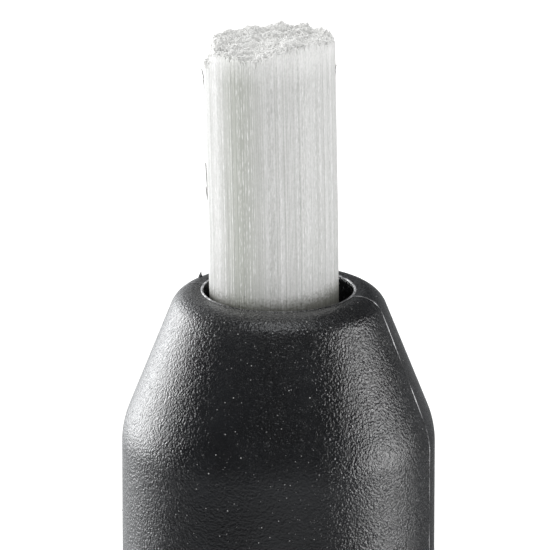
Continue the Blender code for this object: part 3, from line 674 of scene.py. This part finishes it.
def barrel_profile():
    """The barrel's section, from the hole's lip over the nose, down the outside and up the bore."""
    cone_base_z = NOSE_Z - (BARREL_RADIUS - NOSE_RADIUS) / tan(NOSE_ANGLE)
    nose_end_z = cone_base_z - 5 * MM
    outside = rounded(
        [
            (HOLE_RADIUS + LIP_WIDTH, NOSE_Z),
            (NOSE_RADIUS, NOSE_Z, 0.8 * MM),
            (BARREL_RADIUS, cone_base_z, 2.8 * MM),
            (BARREL_RADIUS, nose_end_z),
        ],
        12,
        closed=False,
    )
    outside = split_long(outside, NOSE_SPACING, closed=False)
    shank = rounded(
        [
            (BARREL_RADIUS, nose_end_z),
            (BARREL_RADIUS, BARREL_REAR_Z, 0.2 * MM),
            (BORE_RADIUS, BARREL_REAR_Z),
        ],
        6,
        closed=False,
    )
    shank = split_long(shank, BARREL_SPACING, closed=False)[1:]
    inside = [
        Vector((BORE_RADIUS, GUIDE_SEAT_Z)),
        Vector((GUIDE_BORE_RADIUS, GUIDE_SEAT_Z)),
        Vector((HOLE_RADIUS, THROAT_Z)),
        Vector((HOLE_RADIUS, NOSE_Z - 0.08 * MM)),
    ]
    turns = [pi * k / LIP_STEPS for k in range(LIP_STEPS)]
    lip = [
        Vector((HOLE_RADIUS + LIP_WIDTH * (1 - cos(turn)) / 2, NOSE_Z + LIP_HEIGHT * sin(turn)))
        for turn in turns
    ]
    return outside, shank, inside, lip


def lip_wear(angle, rough):
    """How strong the painted highlight on the flash round the hole is: most behind and on the left, faint in
    front.
    """
    place = Vector((cos(angle), sin(angle), 0.0))
    behind = min(1.0, max(0.0, 0.75 - place.dot(FRONT)))
    side = 1.0 if place.dot(SIDE) < 0 else 0.4
    return min(1.0, 1.7 * behind * side * max(0.25, 3.0 * rough - 0.8))


def glass_dust(point, angle):
    """How dusty the moulding is with broken glass: round the hole, most in front on the left. In the bore it
    is full all round, and there it is painted light as well as dust, standing in for light bounced in from
    the brush.
    """
    place = Vector((cos(angle), sin(angle), 0.0))
    side = max(0.0, 0.2 + 0.36 * place.dot(from_front(DUST_AZIMUTH)))
    # Painted light in the bore besides the dust, standing in for light bounced in from the brush.
    if point.x <= HOLE_RADIUS:
        side = 1.0
    away = max(0.0, point.x - HOLE_RADIUS) / DUST_REACH
    away += max(0.0, NOSE_Z - point.y) / (2 * DUST_REACH)
    return side / (1.0 + away * away)


def barrel():
    """The grained moulding, with its raised parting line on both sides and flash round the hole."""
    outside, shank, inside, lip = barrel_profile()
    path = outside + shank + inside + lip
    seamed = len(outside) + len(shank) - 1
    count = len(path)
    rng = np.random.default_rng(7)
    side_angles = np.linspace(0.0, pi, BARREL_COLUMNS // 2 + 1)[2:-2]
    columns = 2 * (len(SEAM_STEPS) + len(side_angles))
    smooth = np.ones(3) / 3
    breaks = np.convolve(rng.random(count + 8), smooth, mode="same")
    notches = np.convolve(rng.random(columns + 2), smooth, mode="same")[1:-1]
    worn, grain, dust, verts = [], [], [], []
    for i, point in enumerate(path):
        tangent = (path[(i + 1) % count] - path[i - 1]).normalized()
        outward = Vector((-tangent.y, tangent.x))
        on_lip = i >= count - len(lip)
        lip_crest = on_lip and i > count - len(lip)
        on_cone = i < seamed and point.x > NOSE_RADIUS * 0.98 and point.x < BARREL_RADIUS * 0.999
        seam_pale = 1.0 if on_cone else SEAM_PALE_ON_SIDES
        facing_up = max(0.0, outward.y)
        grained = LIP_GRAIN if on_lip else 1.0 - FLATTENED_UPWARDS * facing_up**3
        for half in (0, 1):
            for step in SEAM_STEPS:
                angle = half * pi + step * SEAM_HALF_WIDTH / point.x
                crest = abs(step) < 0.5 and i < seamed
                broken = min(1.0, max(0.0, 2.6 * breaks[i + 3 * half] - 0.7))
                lift = SEAM_HEIGHT * (0.3 + 0.7 * broken) if crest else 0.0
                place = point + outward * lift
                verts.append((place.x * cos(angle), place.x * sin(angle), place.y))
                # The seam's crest is pale, and the lip's crest gets the painted highlight.
                worn.append(seam_pale * broken if crest else lip_wear(angle, 0.5) * lip_crest)
                grain.append(grained)
                dust.append(glass_dust(point, angle))
            for angle in side_angles + half * pi:
                verts.append((point.x * cos(angle), point.x * sin(angle), point.y))
                worn.append(lip_wear(angle, notches[len(verts) % columns]) * lip_crest)
                grain.append(grained)
                dust.append(glass_dust(point, angle))
    obj = new_object("barrel_shell", verts, grid_faces(count, columns, wrap_rows=True))
    obj.data.set_sharp_from_angle(angle=radians(50.0))
    for name, values in (("worn", worn), ("grain", grain), ("dust", dust)):
        set_attribute(obj, name, values)
    return put_on(obj, "barrel", "grained_black_plastic", "barrel")


def moulding_burrs():
    """Torn scraps of flash: one on the nose's rim behind the brush, one on the barrel's left side."""
    scraps = [
        (radians(-123), 2.86 * MM, NOSE_Z - 0.06 * MM, Vector((0, 0, 1)), 0.16 * MM, 0.09 * MM),
        (radians(-92), BARREL_RADIUS - 0.03 * MM, NOSE_Z - 7.15 * MM, None, 0.07 * MM, 0.05 * MM),
    ]
    outline = [(-1.0, -0.5), (-0.2, -0.8), (1.0, -0.3), (0.7, 0.6), (-0.5, 0.7)]
    levels = ((0.0, 1.0, 0.0), (0.35, 0.7, 0.1), (0.7, 0.35, -0.2), (1.0, 0.1, -0.55))
    verts, faces = [], []
    for azimuth, radius, z, rise, height, width in scraps:
        outward = from_front(azimuth)
        across = Vector((-outward.y, outward.x, 0.0))
        rise = rise or outward
        base = outward * radius + Vector((0.0, 0.0, z))
        along = outward if rise != outward else Vector((0.0, 0.0, 1.0))
        first = len(verts)
        for share, shrink, drift in levels:
            for a, b in outline:
                offset = across * (a * shrink + drift) * width + along * b * shrink * width * 0.6
                verts.append(base + offset + rise * height * share)
        ring = len(outline)
        for row in range(3):
            for k in range(ring):
                a, b = first + row * ring + k, first + row * ring + (k + 1) % ring
                faces.append((a, b, b + ring, a + ring))
        faces.append(tuple(range(first, first + ring))[::-1])
        faces.append(tuple(range(first + 3 * ring, first + 4 * ring)))
    obj = new_object("moulding_burrs", verts, faces)
    face_outward(obj)
    set_attribute(obj, "worn", np.full(len(verts), BURR_WEAR))
    set_attribute(obj, "grain", np.full(len(verts), BURR_GRAIN))
    set_attribute(obj, "dust", np.zeros(len(verts)))
    return put_on(obj, "barrel", "grained_black_plastic")


# Knob, ring and clip --------------------------------------------------------------------------

KNOB_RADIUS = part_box("twist_knob")[1].x
KNOB_FRONT_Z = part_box("twist_knob")[1].z
KNOB_RECESS_Z = KNOB_FRONT_Z - 0.6 * MM
FLUTES = 18
FLUTE_RADIUS = 0.5 * MM
FLUTE_AXIS_RADIUS = KNOB_RADIUS + 0.25 * MM
FLUTE_SPAN = (2.0 * MM, 11.2 * MM)
FLUTE_RUN_OUT = 0.7 * MM
SOCKET_RADIUS = 1.46 * MM
RING_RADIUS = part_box("clip_ring")[1].x
RING_REAR_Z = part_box("clip_ring")[0].z
RING_FRONT_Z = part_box("clip_ring")[1].z
CLIP_ROOT_Z = 15.3 * MM
CLIP_TIP_Z = 54 * MM
CLIP_THICKNESS = 0.45 * MM
TONGUE_HALF_WIDTH = 0.8 * MM
TONGUE_POINTS = 14
PAD_LIFT = BARREL_RADIUS + 0.1 * MM + CLIP_THICKNESS / 2


def knob_rings():
    """The knob's rings as (radius, z, kind), down the outer side and up through the sockets."""
    outside = rounded(
        [
            (3.6 * MM, KNOB_FRONT_Z),
            (KNOB_RADIUS, KNOB_FRONT_Z, 0.2 * MM),
            (KNOB_RADIUS, 0.0, 0.6 * MM),
            (3.2 * MM, 0.0),
        ],
        8,
        closed=False,
    )
    outside = split_long(outside, 0.12 * MM, closed=False)
    margin = 0.05 * MM
    run_outs = (
        (FLUTE_SPAN[0] - margin, FLUTE_SPAN[0] + FLUTE_RUN_OUT),
        (FLUTE_SPAN[1] - FLUTE_RUN_OUT, FLUTE_SPAN[1] + margin),
    )
    kept = []
    for i, point in enumerate(outside):
        on_side = point.x > KNOB_RADIUS - 0.001 * MM
        shaped = any(low < point.y < high for low, high in run_outs)
        if not on_side or shaped or i % 8 == 0:
            kept.append((point.x, point.y, "outer"))
    inside = [
        (3.2 * MM, 1.2 * MM, "round"),
        (2.0 * MM, 1.2 * MM, "round"),
        (2.0 * MM, 3.6 * MM, "round"),
        (0.8 * MM, 3.6 * MM, "round"),
        (0.8 * MM, 4.1 * MM, "round"),
        (SOCKET_RADIUS, 4.1 * MM, "hexagon"),
        (SOCKET_RADIUS, KNOB_RECESS_Z, "hexagon"),
        (3.6 * MM, KNOB_RECESS_Z, "round"),
    ]
    return kept + inside


def twist_knob():
    """The knob with grip flutes that run out smoothly at both ends."""
    half_flute = acos(
        (KNOB_RADIUS**2 + FLUTE_AXIS_RADIUS**2 - FLUTE_RADIUS**2) / (2 * KNOB_RADIUS * FLUTE_AXIS_RADIUS)
    )
    pitch = 2 * pi / FLUTES
    across_flute = list(np.linspace(-half_flute, half_flute, 9))
    across_land = list(np.linspace(half_flute, pitch - half_flute, 5)[1:-1])
    angles = [pitch * (i + 0.5) + step for i in range(FLUTES) for step in across_flute + across_land]
    verts = []
    rings = knob_rings()
    for radius, z, kind in rings:
        ends = min(z - FLUTE_SPAN[0], FLUTE_SPAN[1] - z) / FLUTE_RUN_OUT
        share = smooth_step(min(1.0, max(0.0, ends)))
        for angle in angles:
            reach = radius
            if kind == "outer":
                off = (angle / pitch % 1.0 - 0.5) * pitch
                if abs(off) < half_flute:
                    cut = FLUTE_RADIUS**2 - (FLUTE_AXIS_RADIUS * sin(off)) ** 2
                    flute = FLUTE_AXIS_RADIUS * cos(off) - sqrt(max(0.0, cut))
                    reach -= share * max(0.0, KNOB_RADIUS - flute)
            elif kind == "hexagon":
                reach = radius * cos(pi / 6) / cos(angle % (pi / 3) - pi / 6)
            verts.append((reach * cos(angle), reach * sin(angle), z))
    obj = new_object("knob_shell", verts, grid_faces(len(rings), len(angles), wrap_rows=True))
    obj.data.set_sharp_from_angle(angle=radians(38.0))
    return put_on(obj, "drive", "smooth_black_plastic", "twist_knob")


def end_cap():
    obj = turned(
        "knob_end_disc",
        [
            (0.0, 1.9 * MM),
            (1.94 * MM, 1.9 * MM, 0.1 * MM),
            (1.94 * MM, 1.15 * MM),
            (3.14 * MM, 1.15 * MM, 0.05 * MM),
            (3.14 * MM, 0.0, 0.12 * MM),
            (0.0, 0.0),
        ],
    )
    return put_on(obj, "drive", "grey_plastic", "end_cap")


def cut_box(obj, low, high):
    """Cuts a box out of obj for good."""
    bpy.ops.mesh.primitive_cube_add(size=1.0)
    cutter = bpy.context.object
    cutter.location = (Vector(low) + Vector(high)) / 2
    cutter.scale = Vector(high) - Vector(low)
    step = obj.modifiers.new("cut", "BOOLEAN")
    step.operation = "DIFFERENCE"
    step.solver = "EXACT"
    step.object = cutter
    bpy.context.view_layer.update()
    graph = bpy.context.evaluated_depsgraph_get()
    mesh = bpy.data.meshes.new_from_object(obj.evaluated_get(graph))
    obj.modifiers.clear()
    obj.data = mesh
    bpy.data.objects.remove(cutter)


def clip_ring():
    recess_z = 14.45 * MM
    obj = turned(
        "ring_shell",
        [
            (3.6 * MM, RING_FRONT_Z),
            (RING_RADIUS, RING_FRONT_Z, 0.2 * MM),
            (RING_RADIUS, RING_REAR_Z, 0.2 * MM),
            (4.05 * MM, RING_REAR_Z),
            (4.05 * MM, recess_z),
            (3.6 * MM, recess_z),
        ],
    )
    slot_z = (CLIP_ROOT_Z - 0.4 * MM, CLIP_ROOT_Z + 0.4 * MM)
    cut_box(obj, (-1 * MM, -6 * MM, slot_z[0]), (1 * MM, -2.6 * MM, slot_z[1]))
    obj.data.set_sharp_from_angle(angle=radians(40.0))
    return put_on(obj, "barrel", "chromed_metal", "clip_ring")


def clip_half_width(lift, z, to_tip):
    """Half the strip's width: narrow in the ring's slot, tapering along the arm, round at the tip."""
    share = (z - CLIP_ROOT_Z) / (CLIP_TIP_Z - CLIP_ROOT_Z)
    arm = 1.6 * MM - 0.3 * MM * max(0.0, share)
    if z < RING_FRONT_Z:
        out = min(1.0, max(0.0, (lift - 5.0 * MM) / (0.35 * MM)))
        arm = TONGUE_HALF_WIDTH + (arm - TONGUE_HALF_WIDTH) * smooth_step(out)
    tip = max(0.0, 1 - to_tip / (1.3 * MM))
    return arm * max(0.25, sqrt(1 - tip * tip))


def pocket_clip():
    """The bent strip: hooked tongue, arm and bump, with broken edges and a rounded tip."""
    path = rounded(
        [
            (3.1 * MM, 16.5 * MM),
            (3.1 * MM, CLIP_ROOT_Z, 0.3 * MM),
            (6.7 * MM, CLIP_ROOT_Z, 0.9 * MM),
            (PAD_LIFT + 0.75 * MM, 47 * MM, 4.0 * MM),
            (PAD_LIFT, 50 * MM, 1.5 * MM),
            (PAD_LIFT + 1.2 * MM, CLIP_TIP_Z),
        ],
        10,
        closed=False,
    )
    arm = split_long(path[:-1], 0.9 * MM, closed=False)
    tip = split_long(path[-2:], 0.12 * MM, closed=False)
    path = arm[:-1] + tip
    tongue = split_long(path[:TONGUE_POINTS], 0.08 * MM, closed=False)
    path = tongue[:-1] + path[TONGUE_POINTS - 1 :]
    to_tip = [0.0]
    for a, b in zip(reversed(path[:-1]), reversed(path)):
        to_tip.append(to_tip[-1] + (b - a).length)
    to_tip.reverse()
    edge = CLIP_THICKNESS / 2
    verts = []
    for i, point in enumerate(path):
        ahead = path[min(i + 1, len(path) - 1)] - path[max(i - 1, 0)]
        across = Vector((-ahead.y, ahead.x)).normalized()
        half = clip_half_width(point.x, point.y, to_tip[i])
        corners = [(-half, -edge), (half, -edge), (half, edge), (-half, edge)]
        section = rounded([(*corner, 0.1 * MM) for corner in corners], 3)
        for x, offset in section:
            place = point + across * offset
            verts.append((x, -place.x, place.y))
    columns = len(section)
    faces = grid_faces(len(path), columns, wrap_rows=False)
    faces += [tuple(range(columns)), tuple(range(len(verts) - columns, len(verts)))[::-1]]
    obj = new_object("clip_strip", verts, faces)
    face_outward(obj)
    obj.data.set_sharp_from_angle(angle=radians(50.0))
    return put_on(obj, "clip", "chromed_metal", "pocket_clip")


def ferrule():
    """The refill's sleeve with its two rolled crimps."""
    front_z, rear_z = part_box("ferrule")[1].z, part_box("ferrule")[0].z
    outer, inner = 2.2 * MM, 1.98 * MM

    def wall(radius):
        points = []
        for z in (front_z - 1.2 * MM, front_z - 2.6 * MM):
            for deep, step in ((0, 0.35), (0.12, 0.12), (0.12, -0.12), (0, -0.35)):
                points.append((radius - deep * MM, z + step * MM, 0.15 * MM))
        return points

    obj = turned(
        "ferrule_sleeve",
        [
            (outer, front_z, 0.06 * MM),
            *wall(outer),
            (outer, rear_z, 0.06 * MM),
            (inner, rear_z),
            *reversed(wall(inner)),
            (inner, front_z, 0.06 * MM),
        ],
        steps=96,
    )
    return put_on(obj, "refill", "aluminium", "ferrule")


# Brush ----------------------------------------------------------------------------------------

STRAND_PITCH = 0.026 * MM
STRAND_RADIUS = 0.03 * MM
STRAND_SIDES = 6
OUTER_RINGS = 3
INNER_PITCH = 0.031 * MM
INNER_SIDES = 4
TOP_DEPTH = 0.6 * MM  # how far the inner strands reach down into the core
BRUSH_LEAN = 0.021  # sideways per unit of height above the nose, away from SIDE
BRUSH_OFFSET = -0.12 * MM
CORE_DEPTH = 0.12 * MM  # of the core's end below the cut
SHADE_AZIMUTH = -29.0  # degrees from FRONT, where the painted shade down the bundle's side is darkest
SHADE_SPREAD = 17.0
SOIL_AZIMUTH = 60.0  # degrees from FRONT, where the painted shade at the hole reaches highest
GLINT_SHARE = 0.45
BROKEN_SHARE = 0.05
NECK_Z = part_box("ferrule")[1].z + 0.6 * MM


def brush_centre(z):
    """The bundle's centre line: a little to one side in the hole, and leaning away from SIDE."""
    rise = np.clip((z - NECK_Z) / (NOSE_Z - NECK_Z), 0.0, 1.0)
    lean = BRUSH_OFFSET * rise - BRUSH_LEAN * np.maximum(z - NOSE_Z, 0.0)
    return np.outer(lean, np.array(SIDE))


def cut_height(across, ahead):
    """The cut end's height at a place given along SIDE and FRONT: nearly square, chipped on the left."""
    blend = np.clip((across + 0.4 * MM) / (1.0 * MM), 0.0, 1.0)
    blend = smooth_step(blend)
    raised = 0.05 * across + 0.17 * np.maximum(ahead, 0.0) * blend
    edge = np.clip((-across - 1.68 * MM) / (0.14 * MM), 0.0, 1.0)
    rim = np.clip((np.hypot(across, ahead) - BRUSH_RADIUS + 0.25 * MM) / (0.25 * MM), 0.0, 1.0)
    raised = raised - 0.09 * MM * rim**2
    hollow = np.exp(-((across + 0.2 * MM) ** 2 + (ahead + 0.3 * MM) ** 2) / (0.6 * MM) ** 2)
    return BRUSH_TOP_Z - 0.12 * MM + raised - 0.5 * MM * edge - 0.07 * MM * hollow


def strands(name, feet, tops, radii, levels, sides=STRAND_SIDES, **tones):
    """One mesh of separate closed prisms that run from feet to tops, bowed slightly."""
    rng = np.random.default_rng(len(feet))
    count = len(feet)
    turn = rng.random(count) * 2 * pi
    bow = rng.normal(0.0, 0.004 * MM, (count, 2)) * (levels > 2)
    angles = turn[:, None] + np.arange(sides) * 2 * pi / sides
    rings = []
    for level in range(levels):
        share = level / (levels - 1)
        middle = feet * (1 - share) + tops * share
        middle[:, :2] += brush_centre(middle[:, 2])[:, :2] + bow * sin(pi * share)
        ring = np.empty((count, sides, 3))
        ring[:, :, 0] = middle[:, None, 0] + radii[:, None] * np.cos(angles)
        ring[:, :, 1] = middle[:, None, 1] + radii[:, None] * np.sin(angles)
        ring[:, :, 2] = middle[:, None, 2]
        rings.append(ring)
    verts = np.stack(rings, axis=1).reshape(-1, 3)
    per_strand = levels * sides
    walls = [
        (
            level * sides + k,
            level * sides + (k + 1) % sides,
            (level + 1) * sides + (k + 1) % sides,
            (level + 1) * sides + k,
        )
        for level in range(levels - 1)
        for k in range(sides)
    ]
    start = (np.arange(count) * per_strand)[:, None, None]
    wall_corners = (np.array(walls)[None] + start).reshape(-1)
    foot_face = np.arange(sides)[::-1]
    top_face = np.arange(sides) + (levels - 1) * sides
    end_corners = (np.array([foot_face, top_face])[None] + start).reshape(-1)
    corner_totals = np.concatenate([np.full(count * len(walls), 4), np.full(count * 2, sides)])
    corners = np.concatenate([wall_corners, end_corners])
    mesh = bpy.data.meshes.new(name)
    mesh.vertices.add(len(verts))
    mesh.vertices.foreach_set("co", verts.astype(np.float32).ravel())
    mesh.loops.add(len(corners))
    mesh.loops.foreach_set("vertex_index", corners.astype(np.int32))
    mesh.polygons.add(len(corner_totals))
    starts = np.concatenate([[0], np.cumsum(corner_totals)[:-1]])
    mesh.polygons.foreach_set("loop_start", starts.astype(np.int32))
    mesh.polygons.foreach_set("loop_total", corner_totals.astype(np.int32))
    mesh.update(calc_edges=True)
    mesh.validate()
    mesh.shade_smooth()
    mesh.set_sharp_from_angle(angle=radians(80.0))
    obj = bpy.data.objects.new(name, mesh)
    bpy.context.scene.collection.objects.link(obj)
    for attribute in ("strand", "shade", "glint", "pale", "soil", "dark"):
        values = np.broadcast_to(tones.get(attribute, 0.0), count)
        set_attribute(obj, attribute, np.repeat(values, per_strand))
    return obj


def surface_places(rng):
    """Strands in rings close under the bundle's surface, as places along SIDE and FRONT."""
    places = []
    for ring in range(OUTER_RINGS):
        radius = BRUSH_RADIUS - STRAND_RADIUS - ring * 0.85 * STRAND_PITCH
        count = int(2 * pi * radius / STRAND_PITCH)
        angles = (np.arange(count) + rng.uniform(-0.3, 0.3, count)) * 2 * pi / count
        reach = radius + rng.normal(0.0, 0.0025 * MM, count)
        places.append(np.stack([reach * np.sin(angles), reach * np.cos(angles)], axis=1))
    return np.concatenate(places)


def inner_places(rng):
    """Strands inside those rings, in a jittered hexagonal packing."""
    reach = int(BRUSH_RADIUS / INNER_PITCH) + 2
    rows, columns = np.mgrid[-2 * reach : 2 * reach + 1, -2 * reach : 2 * reach + 1]
    across = ((columns + 0.5 * (rows % 2)) * INNER_PITCH).ravel()
    ahead = (rows * INNER_PITCH * sqrt(3) / 2).ravel()
    within = np.hypot(across, ahead) < BRUSH_RADIUS - STRAND_RADIUS - OUTER_RINGS * STRAND_PITCH
    places = np.stack([across, ahead], axis=1)[within]
    return places + rng.normal(0.0, 0.12 * INNER_PITCH, places.shape)


def clump_height(across, ahead):
    """How far the clumps of strands stand above or below the cut."""
    rng = np.random.default_rng(5)
    height = np.zeros(len(across))
    for size in (0.75 * MM, 0.33 * MM, 0.17 * MM):
        for _ in range(5):
            turn, phase = rng.uniform(0, pi), rng.uniform(0, 2 * pi)
            along = across * cos(turn) + ahead * sin(turn)
            height += size * 0.045 * np.sin(along * 2 * pi / size + phase)
    return height


def ends(places, foot_z, rng):
    """Feet and tops of strands at those places, cut by the brush's end face."""
    level = cut_height(places[:, 0], places[:, 1]) + clump_height(places[:, 0], places[:, 1])
    level += rng.normal(0.0, 0.015 * MM, len(places))
    broken = rng.random(len(places)) < BROKEN_SHARE
    level -= np.where(broken, rng.random(len(places)) * 0.2 * MM, 0.0)
    tops = np.outer(places[:, 0], np.array(SIDE)) + np.outer(places[:, 1], np.array(FRONT))
    tops[:, 2] = level
    feet = tops.copy()
    feet[:, 2] = foot_z if foot_z is not None else level - TOP_DEPTH
    return feet, tops


def brush():
    rng = np.random.default_rng(11)
    places = surface_places(rng)
    feet, tops = ends(places, NECK_Z, rng)
    tops[:, 2] -= rng.exponential(0.035 * MM, len(places))
    feet[:, :2] *= 1 - 0.08 * MM / BRUSH_RADIUS
    azimuth = np.degrees(np.arctan2(places[:, 0], places[:, 1]))
    count = len(places)
    skin = strands(
        "brush_outer_fibres",
        feet,
        tops,
        STRAND_RADIUS * rng.uniform(0.88, 1.04, count),
        6,
        strand=rng.random(count),
        # painted shade: a band down the side, darkest at SHADE_AZIMUTH
        shade=np.exp(-(((azimuth - SHADE_AZIMUTH) / SHADE_SPREAD) ** 2)),
        # painted glints on a share of the strands
        glint=np.where(rng.random(count) < GLINT_SHARE, rng.uniform(0.1, 0.9, count), 0.0),
        # how high the painted shade at the hole reaches
        soil=np.clip(azimuth / SOIL_AZIMUTH, 0.0, 1.0),
    )
    places = inner_places(rng)
    feet, tops = ends(places, None, rng)
    count = len(places)
    inner = strands(
        "brush_inner_fibres",
        feet,
        tops,
        0.5 * INNER_PITCH * rng.uniform(0.95, 1.3, count),
        2,
        sides=INNER_SIDES,
        strand=rng.random(count),
        # pale is painted light on the end face
        pale=rng.uniform(0.1, 1.0, count),
    )
    for piece in (skin, inner, brush_core()):
        put_on(piece, "refill", "glass_fibre", "fibre_bundle")
    put_on(stray_fibres(), "refill", "glass_fibre")


def brush_core():
    """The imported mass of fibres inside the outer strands, as one solid that follows the cut."""
    gripped = BRUSH_RADIUS - 0.08 * MM
    inner = BRUSH_RADIUS - STRAND_RADIUS - (OUTER_RINGS - 0.5) * STRAND_PITCH
    stations = [(BRUSH_REAR_Z, gripped), (NECK_Z - 0.3 * MM, gripped), (NECK_Z + 0.2 * MM, inner)]
    stations += [(z, inner) for z in np.linspace(NECK_Z + 1.0 * MM, BRUSH_TOP_Z - 1.5 * MM, 12)]
    steps = 96
    angles = np.arange(steps) * 2 * pi / steps
    verts, faces = [], []
    for z, radius in stations:
        shift = brush_centre(np.array([z]))[0]
        verts += [(radius * cos(a) + shift[0], radius * sin(a) + shift[1], z) for a in angles]
    rings = 12
    for k in range(rings):
        radius = inner * (1 - k / rings)
        for a in angles:
            direction = Vector((cos(a), sin(a), 0.0))
            level = cut_height(direction.dot(SIDE) * radius, direction.dot(FRONT) * radius)
            z = float(level) - CORE_DEPTH
            shift = brush_centre(np.array([z]))[0]
            verts.append((radius * direction.x + shift[0], radius * direction.y + shift[1], z))
    total = len(stations) + rings
    for i in range(total - 1):
        for j in range(steps):
            a, b = i * steps + j, i * steps + (j + 1) % steps
            faces.append((a, b, b + steps, a + steps))
    centre = brush_centre(np.array([BRUSH_TOP_Z]))[0]
    verts.append((centre[0], centre[1], float(cut_height(0.0, 0.0)) - CORE_DEPTH))
    last = (total - 1) * steps
    faces += [(last + j, last + (j + 1) % steps, len(verts) - 1) for j in range(steps)]
    faces.append(tuple(range(steps))[::-1])
    obj = new_object("brush_core", verts, faces)
    set_attribute(obj, "strand", np.full(len(verts), 0.4))
    # pale is painted light on the end face, as on the inner strands
    set_attribute(obj, "pale", np.full(len(verts), 0.4))
    return obj


def stray_fibres():
    """A few fibres that have sprung out of the bundle's sides and end."""
    rng = np.random.default_rng(23)
    feet, tops = [], []
    spots = [(-90, 7.0, 0.5, 0.06), (-84, 4.1, 1.5, 0.02), (-96, 6.6, 0.9, 0.03)]
    spots += [(-88, 3.3, 0.5, 0.02), (84, 7.2, 0.4, 0.03)]
    spots += [
        (rng.uniform(100, 260), rng.uniform(5.5, 7.5), rng.uniform(0.4, 1.2), rng.uniform(0.02, 0.06))
        for _ in range(10)
    ]
    for degrees, height, length, spring in spots:
        direction = np.array(from_front(radians(degrees)))
        foot = direction * (BRUSH_RADIUS - 0.03 * MM)
        top = direction * (BRUSH_RADIUS + spring * MM)
        foot[2] = NOSE_Z + height * MM - length * MM
        top[2] = NOSE_Z + height * MM
        feet.append(foot)
        tops.append(top)
    count = len(feet)
    radii = np.full(count, 0.012 * MM)
    # Painted dark: the thin glass fibres are coloured dark, standing in for how they bend the light.
    return strands("stray_fibres", np.array(feet), np.array(tops), radii, 3, dark=0.9)


# Build ----------------------------------------------------------------------------------------

add_camera()
add_world()
sheens = [add_softbox(*light, diffuse=False) for light in SHEENS]
for soft_light in SOFT_LIGHTS:
    add_softbox(*soft_light, glossy=False)
add_floor()
finish_cad_nodes()
barrel()
moulding_burrs()
twist_knob()
end_cap()
clip_ring()
pocket_clip()
ferrule()
brush()
keep_off_chrome(sheens)

scene = bpy.context.scene
scene.view_settings.view_transform = "Standard"
